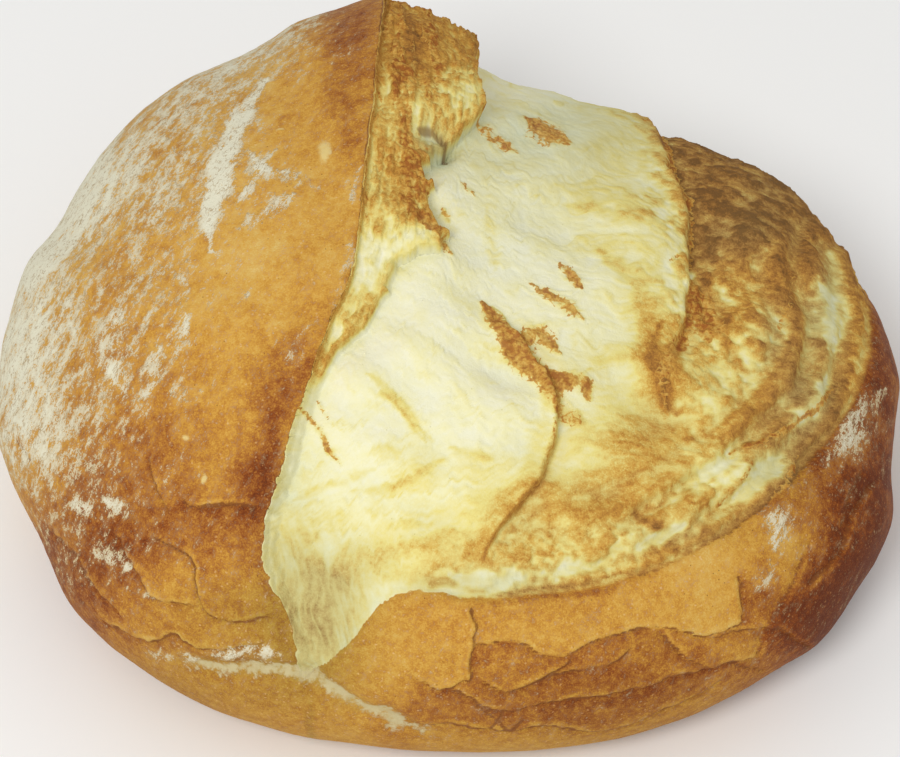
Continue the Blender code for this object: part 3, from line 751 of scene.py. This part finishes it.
    def torn_edge(self, points, rise, fall, rise_reach, fall_reach):
        """A step along an edge, high on its left and low on its right, that dies away all round."""
        distance, along = near_line(self.partly_ragged(0.5), curve_through(points, steps=5), 60)
        ends = smooth(along, 0.0, 0.12) * (1 - smooth(along, 0.88, 1.0)) * (distance < BEYOND_REACH_MM)
        on_high_side = smooth(distance, -EDGE_SOFTNESS_MM, EDGE_SOFTNESS_MM)
        high = rise * fading(distance, rise_reach) * on_high_side
        return (high - fall * fading(-distance, fall_reach) * (1 - on_high_side)) * ends

    def unevenness(self):
        """Waves of several lengths and directions laid over one another."""
        draws = np.random.default_rng(WAVE_SEED)
        total = np.zeros(len(self.places))
        for _ in range(WAVES):
            heading, phase = draws.uniform(0, 2 * math.pi, 2)
            way = np.array([math.cos(heading), math.sin(heading)])
            total += np.sin(2 * math.pi * self.places @ way / draws.uniform(*WAVE_LENGTHS_MM) + phase)
        height = CRUST_WAVE_MM + (CRUMB_WAVE_MM - CRUST_WAVE_MM) * self.crumb
        return height * total / math.sqrt(WAVES)

    def relief(self):
        """How far each point stands out from the unbroken loaf."""
        places, up = self.places, self.places[:, 1]
        depth = stations(BURST_DEPTH, up)
        width = stations(BURST_WIDTH, up)
        near_share, far_share = TORN_STRIP_SHARE
        on_strip = near_share + (far_share - near_share) * np.clip(self.from_lip / self.strip_end, 0, 1)
        past_strip = smooth(self.from_lip, self.strip_end, self.strip_end + STRIP_EDGE_MM)
        share = (on_strip + (1 - on_strip) * past_strip) * smooth(self.from_lip, 0, LIP_WALL_MM)
        height = -depth * share * (1 - smooth(self.from_lip, BURST_FLAT_SHARE * width, width))
        curl = hill(np.minimum(self.from_lip, 0), LIP_CURL_REACH_MM) * (self.from_lip < LIP_WALL_MM / 2)
        height += LIP_CURL_MM * curl * smooth(up, -62, -40) * (1 - smooth(up, 112, 135))
        height += bump(places, CRUMB_LOBE_AT, CRUMB_LOBE_REACH, CRUMB_LOBE_MM) * (self.from_lip > 0)
        for middle, reach, drop in (CAVE, *SWIRL_HOLLOWS):
            height += bump(places, middle, reach, -drop)
        for edge in TORN_EDGES:
            height += self.torn_edge(*edge)
        distance, along = near_line(self.ragged, curve_through(LOW_TEAR), 30)
        ends = smooth(along, 0.0, 0.2) * (1 - smooth(along, 0.75, 1.0))
        self.tear = hill(distance, LOW_TEAR_HALF_WIDTH_MM + 0.8 * self.rough) * ends
        self.tear_line = hill(distance + 0.6, 1.5 + 0.9 * self.rough) * ends
        height -= LOW_TEAR_MM * self.tear
        inward = -self.ring
        band = smooth(inward, 0, 4) * (1 - smooth(inward, RIPPLE_BAND_MM / 2, RIPPLE_BAND_MM))
        length = smooth(places[:, 0], RIPPLE_LEFT_END_MM, RIPPLE_LEFT_END_MM + 40)
        length *= 1 - smooth(up, RIPPLE_TOP_MM - 25, RIPPLE_TOP_MM)
        ripple = np.sin(2 * math.pi * (inward / RIPPLE_PITCH_MM + 0.25 * self.lumps))
        height += RIPPLE_HEIGHT_MM * ripple * band * length
        height += self.unevenness() + self.plates * (1 - self.crumb)
        return height + self.crumb_relief() * self.crumb + self.crust_relief() * (1 - self.crumb)

    def bubbles(self):
        """1 within the crumb's bubbles, and 1 along their rims."""
        draws = np.random.default_rng(BUBBLE_SEED)
        bent = self.partly_ragged(0.6) + 0.4 * self.rough[:, None]
        inside, rims = np.zeros(len(bent)), np.zeros(len(bent))
        for points, count, stray in BUBBLE_BANDS:
            line = curve_through(points)
            for _ in range(count):
                middle = line[draws.integers(len(line))] + draws.normal(0, stray / 2, 2)
                reach = draws.uniform(*BUBBLE_REACH_MM) * np.array([1.0, draws.uniform(0.6, 0.9)])
                near = np.all(np.abs(bent - middle) < 1.7 * reach, axis=1)
                far = np.hypot(*((bent[near] - middle) / reach).T)
                inside[near] = np.maximum(inside[near], 1 - smooth(far, 0.4, 1.0))
                rims[near] = np.maximum(rims[near], hill(far - 1.08, 0.22))
        return inside, rims * (1 - inside)

    def crumb_relief(self):
        """Layers, fibres and bubbles of the torn crumb, and the scabs of crust on it."""
        rough, rough_fine, (across, up) = self.rough, self.rough_fine, self.places.T
        pale_strip = np.clip(-4 * painted(self.ragged, STRIP_SPOTS), 0, 1)
        strands = np.clip(0.34 + 1.1 * self.layers + 0.4 * self.threads, 0, 0.9)
        scab_and_shade = painted(self.partly_ragged(0.6), (), SCABS_AND_CREASE_SHADE) * (1 - 0.25 * rough)
        self.scab_and_shade = np.clip(scab_and_shade + self.on_strip * strands * (1 - pale_strip), 0, 1.1)
        self.window = painted(self.ragged, (), [band for band in TOAST_AND_SHADE_BANDS if band[2] < PALE_WINDOW])
        self.wedge = bump(self.places, *WEDGE, 1.0)
        self.rim = hill(self.from_lip - 2.6, 2.0) * (1 - smooth(up, -58, -34))
        self.bubble, self.bubble_rim = self.bubbles()
        outer = np.maximum(smooth(across, 84, 104), smooth(up, 28, 50))
        rugged = np.clip(self.on_strip + (0.85 - 0.5 * outer) * self.swirl, 0, 1)
        height = (0.13 + 0.32 * rugged + 0.10 * self.wedge) * self.cliff
        height += (0.20 + 0.24 * rugged) * self.layers + 0.6 * self.lumps
        height += (0.13 + 0.16 * rugged + 0.20 * self.wedge) * self.threads
        height += (0.10 + 0.26 * rugged) * rough_fine + (0.08 + 0.22 * rugged) * rough
        height += 0.30 * self.swirl * self.ridge**2 + self.scab_and_shade * (0.35 + 0.9 * rough_fine)
        height += self.window * 1.6 + self.rim * (0.5 + 0.9 * rough + 0.5 * rough_fine)
        return height + 0.10 * self.bubble - 0.10 * self.bubble_rim

    def crust_relief(self):
        """The crust's wrinkles, cracks and blisters, and its caked flour."""
        along = self.skin @ (ACROSS * 0.5 + UPWARD * 0.87)
        aside = self.skin @ (UPWARD * 0.5 - ACROSS * 0.87)
        self.brow = np.stack([along / 6.5, aside / 2.4, self.skin @ TOWARDS_EYE / 7], axis=-1)
        self.brow += 0.25 * self.rough[:, None]
        self.floured = painted(self.ragged, FLOUR_SPOTS, FLOUR_BANDS)
        wrinkles = np.clip(self.floured, 0, 1) * cloud(self.brow[:, :2], 1.0, 3, 340)
        dark_lip = painted(self.places, (), ((DARK_LIP, 9.0, 1.0),))
        height = 0.14 * cloud(self.skin, 12, 3, 130) + 0.06 * self.rough + 0.05 * self.rough_fine
        height += 0.22 * wrinkles + 0.22 * dark_lip * (self.rough + 0.7 * self.rough_fine)
        height -= 0.45 * np.clip(self.crack, 0, 1.6)
        for middle, reach in PALE_BLISTERS:
            height += bump(self.places, middle, np.array(reach) * 0.8, 0.35)
        return height

    def hollowness(self, heights):
        """How far each point lies below the mean of what is round it, in millimetres."""
        grid = heights.reshape(self.shape)
        reach = 3.0 / (380.0 / CELLS)
        rows, columns = (np.fft.fftfreq(count)[:, None] for count in grid.shape)
        fade = np.exp(-2 * (math.pi * reach) ** 2 * (rows**2 + columns.T**2))
        blurred = np.fft.ifft2(np.fft.fft2(grid) * fade).real
        return (blurred - grid).ravel()

    def paint_crust(self):
        """How baked the crust is, with painted shade, and where cracks, blisters and the low tear mark it."""
        rough, up = self.rough, self.places[:, 1]
        self.low = 1 - smooth(self.skin[:, 2], -4, 14)
        blotches = cloud(self.skin, 26, 3, 5)
        spots = cloud(self.skin, 6, 3, 9) * smooth(up, -100, -30)
        dark_lip = painted(self.places, (), ((DARK_LIP, 7.0, 1.0),))
        bake = BAKE + painted(self.ragged, BAKE_AND_SHADE_SPOTS, BAKE_BANDS) + self.darkening
        bake += 0.10 * blotches + 0.14 * spots + 0.07 * self.rough_fine + 0.12 * self.low
        bake += 0.16 * dark_lip * (0.4 + rough) - 0.25 * self.crack_rim * (0.5 + rough)
        self.bake = np.clip(bake, 0.02, 1)
        near_lip = hill(self.from_lip, 0.4) * (1 - smooth(up, 95, 120)) * smooth(up, -30, 0)
        self.line = np.clip(self.crack + near_lip * (0.75 + 0.9 * rough), 0, 1.3)
        bared = self.tear_line * (0.95 + 0.9 * rough + 0.4 * self.rough_fine) + 0.25 * self.tear
        self.tear_cover = np.clip(bared, 0, 1)
        places = self.partly_ragged(0.6)
        self.blister = sum(bump(places, middle, reach, 1.0) for middle, reach in PALE_BLISTERS)

    def paint_crumb(self):
        """How toasted the crumb is, with painted shade in creases and past the sheet's torn edge."""
        rough, rough_fine, layers, threads = self.rough, self.rough_fine, self.layers, self.threads
        across, up = self.places.T
        beyond, ends = self.beyond_sheet()
        toast_and_shade = TOAST + painted(self.ragged, TOAST_SPOTS, TOAST_AND_SHADE_BANDS)
        # Painted shade, with some real browning: past the sheet's torn edge the crumb is browned and the
        # crease at its foot darkened, where the edge shades it
        toast_and_shade += 0.40 * ends * smooth(beyond, 0.4, 1.6) * fading(beyond, 7) * smooth(up, 24, 40)
        over = np.maximum(toast_and_shade - TOAST_BEND, 0) / TOAST_ROOM
        toast_and_shade = np.minimum(toast_and_shade, TOAST_BEND) + TOAST_ROOM * np.tanh(over)
        crease_shade = hill(beyond - 1.3 - 0.5 * rough, 1.0 + 0.5 * rough_fine) * ends
        self.scab_and_shade = np.clip(self.scab_and_shade + 0.85 * crease_shade * (0.8 + 0.8 * rough), 0, 1.1)
        toast_and_shade += 0.08 * self.wedge * (threads + layers) + 0.35 * crease_shade * (0.8 + rough)
        toast_and_shade += 0.09 * self.cliff_edge * (0.6 + self.lumps)
        toast_and_shade += 0.15 * np.clip(layers, -0.2, 1) * (1 - self.swirl)
        toast_and_shade += 0.08 * threads + 0.05 * self.lumps + 0.05 * rough + 0.04 * rough_fine
        toast_and_shade += 0.22 * self.scab_and_shade + (0.11 * self.bubble_rim - 0.10 * self.bubble) * (0.8 + rough)
        crest = np.clip(-self.hollow, -0.8, 0.8)
        worn = 0.12 * layers + 0.14 * rough_fine + 0.12 * crest + 0.14 * rough
        toast_and_shade += self.swirl * ((1 - bump(self.places, *CALM_SWIRL)) * worn - 0.08 * self.ridge**2)
        toast_and_shade += 0.36 * fading(-self.ring, 3.8) * smooth(across, 20, 60)
        toast_and_shade += 0.22 * fading(-self.ring, 1.2) * smooth(across, -6, 10)
        strip = STRIP_TOAST + painted(self.ragged, STRIP_SPOTS) + 0.14 * layers + 0.12 * threads
        strip += 0.14 * rough + 0.12 * rough_fine + 0.10 * crest
        toast_and_shade += (strip - toast_and_shade) * self.on_strip
        in_window = np.clip(-3.5 * self.window, 0, 1)
        toast_and_shade = np.maximum(toast_and_shade, 0.24 * in_window) + 0.12 * in_window * (rough_fine + rough)
        lip_side = fading(self.from_lip, 0.8) * smooth(up, -48, -20)
        self.toast_and_shade = np.clip(toast_and_shade + 0.28 * lip_side, 0, 1)

    def paint_shade(self):
        """Painted shade: darker, greyer colour in marked places, hollows, windows and under the lip."""
        painted_shade = np.clip(painted(self.places, SHADE_SPOTS) + 0.4 * np.clip(self.hollow, 0, 0.6), 0, 1)
        painted_shade *= 1 - self.on_strip * (1 - bump(self.places, *SHADED_CAVE_MOUTH, 1.0))
        painted_shade = np.maximum(painted_shade, 0.6 * np.clip(-1.6 * self.window, 0, 1))
        self.painted_shade = np.clip(np.maximum(painted_shade, 0.75 * self.rim), 0, 1)

    def paint_flour(self):
        """How thick the flour lies on the crust."""
        flour = self.floured + 0.20 * self.rough * smooth(self.floured, 0.0, 0.25)
        flour = np.maximum(flour, (DUSTED_BASE + 0.2 * self.rough) * self.low)
        self.flour = np.clip(flour, 0, 1.2) * (self.crumb < 0.5)


def keep(mesh, name, values):
    """Store a value for each of the mesh's points."""
    attribute = mesh.attributes.new(name, "FLOAT", "POINT")
    attribute.data.foreach_set("value", np.ascontiguousarray(values, np.float32))


class Graph:
    """A material's nodes, built from one expression after another."""

    def __init__(self, name):
        self.material = bpy.data.materials.new(name)
        self.material.use_nodes = True
        self.tree = self.material.node_tree
        self.shader = self.tree.nodes["Principled BSDF"]

    def feed(self, socket, value):
        if isinstance(value, bpy.types.NodeSocket):
            self.tree.links.new(value, socket)
        else:
            socket.default_value = value

    def add(self, kind, inputs, **settings):
        node = self.tree.nodes.new(kind)
        for key, value in settings.items():
            setattr(node, key, value)
        for key, value in inputs.items():
            self.feed(node.inputs[key], value)
        return node

    def attribute(self, name):
        return self.add("ShaderNodeAttribute", {}, attribute_name=name).outputs["Fac"]

    def math(self, operation, first, second=0.0):
        return self.add("ShaderNodeMath", {0: first, 1: second}, operation=operation).outputs[0]

    def plus(self, *values):
        total = values[0]
        for value in values[1:]:
            total = self.math("ADD", total, value)
        return total

    def times(self, *values):
        total = values[0]
        for value in values[1:]:
            total = self.math("MULTIPLY", total, value)
        return total

    def swing(self, noise, amount):
        """Noise from 0 to 1 made to swing about 0."""
        inputs = {0: noise, 1: amount, 2: -0.5 * amount}
        return self.add("ShaderNodeMath", inputs, operation="MULTIPLY_ADD").outputs[0]

    def step(self, value, low, high, start=0.0, end=1.0):
        """Start below low and end above high, smooth between them."""
        inputs = {0: value, 1: low, 2: high, 3: start, 4: end}
        return self.add("ShaderNodeMapRange", inputs, interpolation_type="SMOOTHSTEP").outputs[0]

    def mix(self, share, first, second, blend_type="MIX"):
        """The first colour at 0 and the second at 1. A plain colour is given as its red, green and blue."""
        first, second = (
            value if isinstance(value, bpy.types.NodeSocket) else (*value, 1.0) for value in (first, second)
        )
        inputs = {0: share, 6: first, 7: second}
        return self.add("ShaderNodeMix", inputs, data_type="RGBA", blend_type=blend_type).outputs[2]

    def over(self, under, share, strength, colour):
        """A colour laid over another by a share of its strength."""
        return self.mix(self.times(share, strength), under, colour)

    def ramp(self, value, stops):
        node = self.add("ShaderNodeValToRGB", {0: value})
        elements = node.color_ramp.elements
        while len(elements) < len(stops):
            elements.new(0.5)
        for element, (position, colour) in zip(elements, stops):
            element.position = position
            element.color = (*colour, 1.0)
        return node.outputs[0]

    def place(self):
        """Object coordinates in millimetres."""
        source = self.add("ShaderNodeTexCoord", {}).outputs["Object"]
        return self.add("ShaderNodeVectorMath", {0: source, 1: [1 / MM] * 3}, operation="MULTIPLY").outputs[0]

    def noise(self, place, size, detail=1.0, roughness=0.5):
        """Noise from 0 to 1 about 0.5, whose features are about a size in millimetres."""
        inputs = {"Vector": place, "Scale": 1.0 / size, "Detail": detail, "Roughness": roughness}
        return self.add("ShaderNodeTexNoise", inputs).outputs["Fac"]

    def cells(self, place, size):
        inputs = {"Vector": place, "Scale": 1.0 / size}
        return self.add("ShaderNodeTexVoronoi", inputs)

    def warped(self, place, size, amount):
        """A place pushed about by noise."""
        noise = self.add("ShaderNodeTexNoise", {"Vector": place, "Scale": 1.0 / size, "Detail": 2.0})
        pushed = {0: noise.outputs["Color"], 1: [amount] * 3, 2: place}
        return self.add("ShaderNodeVectorMath", pushed, operation="MULTIPLY_ADD").outputs[0]

    def seams(self, place, size):
        """Distance from the seams between cells, over the cells' size."""
        inputs = {"Vector": place, "Scale": 1.0 / size}
        return self.add("ShaderNodeTexVoronoi", inputs, feature="DISTANCE_TO_EDGE").outputs["Distance"]

    def bump(self, height, distance_mm, strength=1.0):
        inputs = {"Height": height, "Distance": distance_mm * MM, "Strength": strength}
        return self.add("ShaderNodeBump", inputs).outputs[0]


# Colours against how baked, toasted and scabbed the surface is; these values carry some painted shade too
CRUST_RAMP = (
    (0.0, (0.72, 0.56, 0.24)),
    (0.2, (0.66, 0.43, 0.12)),
    (0.4, (0.62, 0.34, 0.062)),
    (0.55, (0.52, 0.245, 0.038)),
    (0.7, (0.38, 0.145, 0.027)),
    (0.85, (0.24, 0.062, 0.013)),
    (1.0, (0.13, 0.028, 0.008)),
)
CRUMB_RAMP = (
    (0.0, (0.84, 0.82, 0.61)),
    (0.15, (0.82, 0.78, 0.46)),
    (0.3, (0.77, 0.67, 0.235)),
    (0.45, (0.66, 0.44, 0.105)),
    (0.6, (0.55, 0.28, 0.052)),
    (0.8, (0.37, 0.165, 0.036)),
    (1.0, (0.19, 0.088, 0.026)),
)
# Painted shade: a darker, greyer copy of the crumb's colours, and a tint that multiplies the crust's colour,
# used where shade is painted
SHADED_CRUMB_RAMP = ((0.0, (0.58, 0.63, 0.43)), (0.35, (0.50, 0.44, 0.19)), (0.9, (0.20, 0.12, 0.042)))
SCAB_RAMP = ((0.30, (0.66, 0.41, 0.10)), (0.5, (0.54, 0.27, 0.05)), (0.75, (0.36, 0.125, 0.028)))
SHADED_CRUST_TINT = (0.66, 0.74, 0.72)  # multiplies the crust's own
SPECK_ON_PALE, SPECK_ON_DARK = (0.86, 0.66, 0.34), (0.50, 0.22, 0.07)
PORE = (0.14, 0.05, 0.015)
BLISTER = (0.76, 0.62, 0.26)
TEAR_DARK, TEAR_PALE = (0.44, 0.36, 0.16), (0.68, 0.62, 0.38)
CRUST_CRACK = (0.20, 0.068, 0.02)
CRUMB_PIT = (0.38, 0.33, 0.13)
CRUMB_SLIT = (0.24, 0.13, 0.05)
DUSTING = (0.62, 0.46, 0.24)
THIN_FLOUR, THICK_FLOUR = (0.60, 0.48, 0.28), (0.76, 0.74, 0.58)
FLOUR_CRACK = (0.36, 0.23, 0.09)
# Sizes of the surface's fine noise and cells, and how deep its finest relief is
FINE_MM, GRAIN_MM, MOTTLE_MM = 1.3, 0.42, 3.2
SPECK_CELL_MM, SCAB_CELL_MM = 1.5, 3.0
FINEST_RELIEF_MM = 0.35


def loaf_material():
    """Crust, torn crumb and flour in one surface, told apart by what was stored at its points."""
    g = Graph("baked_loaf")
    place = g.place()
    fine = g.noise(place, FINE_MM, 3.0, 0.65)
    grain = g.noise(place, GRAIN_MM, 1.0)
    mottle = g.noise(place, MOTTLE_MM, 4.0, 0.6)
    on_crumb, painted_shade, floured = g.attribute("crumb"), g.attribute("painted_shade"), g.attribute("flour")
    crumb = g.step(g.plus(on_crumb, g.swing(fine, 0.8)), 0.35, 0.65)

    # the crust, with pale specks and flecks and dark pores
    cells = g.cells(place, SPECK_CELL_MM)
    lot = g.add("ShaderNodeSeparateColor", {0: cells.outputs["Color"]}).outputs
    from_cell = cells.outputs["Distance"]
    bake = g.plus(g.attribute("bake"), g.swing(mottle, 0.40), g.swing(fine, 0.55), g.swing(grain, 0.42))
    crust = g.ramp(bake, CRUST_RAMP)
    # painted shade: the crust's colour multiplied darker and greyer where shade is painted
    crust = g.mix(painted_shade, crust, g.mix(1.0, crust, SHADED_CRUST_TINT, "MULTIPLY"))
    speck = g.step(g.plus(from_cell, g.swing(grain, 0.3)), 0.10, 0.26, 1.0, 0.0)
    speck = g.times(speck, g.step(lot[0], 0.45, 0.75))
    fleck = g.step(g.plus(fine, g.swing(grain, 0.6)), 0.60, 0.76)
    pale = g.mix(g.attribute("bake"), SPECK_ON_PALE, SPECK_ON_DARK)
    crust = g.mix(g.plus(g.times(speck, 0.55), g.times(fleck, 0.30)), crust, pale)
    pore = g.times(g.step(from_cell, 0.08, 0.16, 1.0, 0.0), g.step(lot[0], 0.12, 0.08))
    crust = g.over(crust, pore, 0.7, PORE)
    blister = g.step(g.plus(g.attribute("blister"), g.swing(fine, 1.0), g.swing(mottle, 0.8)), 0.25, 0.85)
    crust = g.over(crust, blister, 0.75, BLISTER)
    tear = g.step(g.plus(g.attribute("tear"), g.swing(fine, 1.8), g.swing(mottle, 1.4)), 0.30, 1.0)
    crust = g.over(crust, tear, 0.85, g.mix(mottle, TEAR_DARK, TEAR_PALE))
    line = g.step(g.plus(g.attribute("line"), g.swing(grain, 0.6)), 0.35, 0.9)
    crust = g.over(crust, line, 0.78, CRUST_CRACK)

    # the crumb, and the lacy scraps of crust on it
    browned = g.step(g.attribute("toast_and_shade"), 0.24, 0.6, 0.16, 1.0)
    unrest = g.plus(g.swing(mottle, 0.32), g.swing(fine, 0.55), g.swing(grain, 0.35))
    toast_and_shade = g.plus(g.attribute("toast_and_shade"), g.times(unrest, browned))
    # painted shade: the crumb's colour swapped for a darker, greyer copy where shade is painted
    soft = g.over(g.ramp(toast_and_shade, CRUMB_RAMP), painted_shade, 0.75, g.ramp(toast_and_shade, SHADED_CRUMB_RAMP))
    pit = g.times(g.step(from_cell, 0.07, 0.15, 1.0, 0.0), g.step(lot[1], 0.9, 0.95))
    soft = g.over(soft, pit, 0.4, CRUMB_PIT)
    seams = g.seams(g.warped(place, SCAB_CELL_MM, 3.4), SCAB_CELL_MM)
    net = g.step(seams, 0.02, 0.14, 1.0, 0.0)
    hole = g.step(seams, 0.30, 0.42)
    lace = g.plus(g.times(net, 0.27), g.times(hole, -0.25), g.swing(fine, 0.9), g.swing(mottle, 0.6))
    scab_level = g.plus(g.attribute("scab_and_shade"), lace)
    scab_shade = g.plus(g.times(scab_level, 0.55), g.swing(fine, 0.8), g.swing(mottle, 0.8))
    soft = g.over(soft, g.step(scab_level, 0.56, 0.72), 0.9, g.ramp(scab_shade, SCAB_RAMP))
    soft = g.over(soft, g.step(g.attribute("line"), 0.55, 1.05), 0.7, CRUMB_SLIT)

    # the flour, which thins out through a broken dusting and cracks where it is thick
    brow = g.add("ShaderNodeAttribute", {}, attribute_name="brow").outputs["Vector"]
    drawn = g.noise(brow, 1.0, 4.0, 0.75)
    mud = g.step(g.seams(g.warped(brow, 0.5, 1.2), 0.5), 0.0, 0.10, 1.0, 0.0)
    mud = g.times(mud, g.step(g.plus(mottle, g.swing(fine, 0.8)), 0.42, 0.60))
    level = g.plus(floured, g.swing(drawn, 2.2), g.swing(fine, 1.2), g.swing(grain, 0.8))
    cover = g.times(g.step(level, 0.46, 0.60), g.step(floured, 0.02, 0.14, 0.4, 1.0))
    thick = g.step(g.plus(floured, g.swing(drawn, 1.2)), 0.35, 0.95)
    crust = g.over(crust, g.step(level, 0.10, 0.50), 0.20, DUSTING)
    crust = g.over(crust, cover, 0.94, g.mix(thick, THIN_FLOUR, THICK_FLOUR))
    crust = g.over(crust, g.times(cover, mud), 0.75, FLOUR_CRACK)

    g.feed(g.shader.inputs["Base Color"], g.mix(crumb, crust, soft))
    crust_roughness = g.plus(0.58, g.times(cover, 0.36), g.swing(fine, 0.14))
    roughness = g.plus(g.times(g.math("SUBTRACT", 1.0, crumb), crust_roughness), g.times(crumb, 0.85))
    g.feed(g.shader.inputs["Roughness"], roughness)
    g.shader.inputs["Specular IOR Level"].default_value = 0.05

    # the finest relief
    dusted = g.step(g.plus(floured, g.swing(fine, 1.0)), 0.35, 0.65)
    crust_height = g.plus(g.times(fine, 0.45), g.times(grain, g.plus(0.35, g.times(dusted, 0.45))),
                          g.times(dusted, 0.2), g.times(g.attribute("line"), -0.35))
    rugged = g.plus(g.times(browned, 0.8), g.times(g.attribute("scab_and_shade"), 0.5))
    crumb_height = g.plus(g.times(fine, g.plus(0.5, rugged)),
                          g.times(grain, g.plus(0.15, g.times(rugged, 0.4))))
    height = g.plus(crust_height, g.times(on_crumb, g.math("SUBTRACT", crumb_height, crust_height)))
    g.feed(g.shader.inputs["Normal"], g.bump(height, FINEST_RELIEF_MM, 0.9))
    return g.material


def build_pieces(surface):
    """The skin as four pieces: quarters of the sheet, each with its share of the flat fan under the base."""
    rows, columns = surface.shape
    grid = surface.points.reshape(rows, columns, 3)
    normals = normals_of(grid).reshape(-1, 3)
    index = np.arange(rows * columns).reshape(rows, columns)
    rim = np.concatenate([index[0], index[:, -1], index[-1], index[:, 0]])
    middle = surface.points[rim].mean(axis=0)
    marks = {
        "crumb": surface.crumb, "bake": surface.bake, "toast_and_shade": surface.toast_and_shade, "painted_shade": surface.painted_shade,
        "flour": surface.flour, "tear": surface.tear_cover, "line": surface.line, "blister": surface.blister,
        "scab_and_shade": surface.scab_and_shade,
    }
    material = loaf_material()
    half = CELLS // 2
    quarters = {
        "skin_front_left": (slice(0, half + 1), slice(0, half + 1)),
        "skin_front_right": (slice(0, half + 1), slice(half, columns)),
        "skin_back_left": (slice(half, rows), slice(0, half + 1)),
        "skin_back_right": (slice(half, rows), slice(half, columns)),
    }
    pieces = []
    for name, (row_range, column_range) in quarters.items():
        part = index[row_range, column_range]
        local = np.arange(part.size).reshape(part.shape)
        quads = np.stack([local[:-1, :-1], local[:-1, 1:], local[1:, 1:], local[1:, :-1]], axis=-1)
        borders = (
            (row_range.start == 0, local[0]),
            (column_range.stop == columns, local[:, -1]),
            (row_range.stop == rows, local[-1, ::-1]),
            (column_range.start == 0, local[::-1, 0]),
        )
        fan = [(int(b), int(a), part.size) for outer, line in borders if outer for a, b in zip(line, line[1:])]
        chosen = part.ravel()
        points = np.vstack([surface.points[chosen], middle]) * MM
        mesh = bpy.data.meshes.new(name)
        mesh.from_pydata(points.tolist(), [], quads.reshape(-1, 4).tolist() + fan)
        mesh.shade_smooth()
        mesh.normals_split_custom_set_from_vertices(np.vstack([normals[chosen], [0, 0, -1]]).tolist())
        for key, values in marks.items():
            keep(mesh, key, np.append(values[chosen], values[rim].mean()))
        brow = mesh.attributes.new("brow", "FLOAT_VECTOR", "POINT")
        brow.data.foreach_set("vector", np.append(surface.brow[chosen], (0, 0, 0)).astype(np.float32))
        mesh.materials.append(material)
        piece = bpy.data.objects.new(name, mesh)
        bpy.context.scene.collection.objects.link(piece)
        pieces.append(piece)
    return pieces


def build_floor():
    """A plain pale floor under the loaf."""
    mesh = bpy.data.meshes.new("floor")
    corners = [(x * FLOOR_HALF_M, y * FLOOR_HALF_M, 0) for x, y in ((-1, -1), (1, -1), (1, 1), (-1, 1))]
    mesh.from_pydata(corners, [], [(0, 1, 2, 3)])
    floor = bpy.data.objects.new("floor", mesh)
    bpy.context.scene.collection.objects.link(floor)
    material = bpy.data.materials.new("pale_floor")
    material.use_nodes = True
    shader = material.node_tree.nodes["Principled BSDF"]
    shader.inputs["Base Color"].default_value = FLOOR_COLOUR
    shader.inputs["Roughness"].default_value = 0.95
    shader.inputs["Specular IOR Level"].default_value = 0.1
    mesh.materials.append(material)


def area_light(name, at, target, size, watts, colour):
    """A round lamp that faces a target."""
    light = bpy.data.lights.new(name, "AREA")
    light.shape = "DISK"
    light.size = size
    light.energy = watts
    light.color = colour
    lamp = bpy.data.objects.new(name, light)
    lamp.location = at
    lamp.rotation_euler = (Vector(target) - Vector(at)).to_track_quat("-Z", "Y").to_euler()
    bpy.context.scene.collection.objects.link(lamp)


def build_light():
    """Plain light from all round, and one large soft lamp from the front and the left."""
    world = bpy.data.worlds.new("studio")
    world.use_nodes = True
    background = world.node_tree.nodes["Background"]
    background.inputs[0].default_value = (1.0, 1.0, 1.0, 1.0)
    background.inputs[1].default_value = SKY_STRENGTH
    bpy.context.scene.world = world
    area_light("key", **KEY_LIGHT)


def build_camera():
    """The photograph's view: along the line of sight to the core, framed by a small shift."""
    core = Vector((CORE - FOOTPRINT_MIDDLE) * MM)
    data = bpy.data.cameras.new("camera")
    data.sensor_width = SENSOR_MM
    data.lens = SENSOR_MM * SIGHT_MM / (PHOTO_WIDTH_PX * MM_PER_PX)
    data.shift_x, data.shift_y = (shift / PHOTO_WIDTH_PX for shift in SHIFT_PX)
    camera = bpy.data.objects.new("camera", data)
    camera.location = core + Vector(TOWARDS_EYE) * SIGHT_MM * MM
    camera.rotation_euler = (core - camera.location).to_track_quat("-Z", "Y").to_euler()
    bpy.context.scene.collection.objects.link(camera)
    bpy.context.scene.camera = camera


def main():
    """Dress the loaf, keep it inside the CAD box, and stage it as in the photograph."""
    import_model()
    cad_box = [list(corner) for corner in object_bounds()]
    surface = Surface()
    low, high = np.array(cad_box) / MM
    surface.points = np.clip(surface.points, low + BOX_MARGIN_MM, high - BOX_MARGIN_MM)
    surface.points[surface.points[:, 2] <= 1.1 * BOX_MARGIN_MM, 2] = 0.0
    for piece in build_pieces(surface):
        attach(piece, "root")
        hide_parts("loaf")
    build_floor()
    build_light()
    build_camera()
    bpy.context.scene.view_settings.view_transform = "Standard"


main()
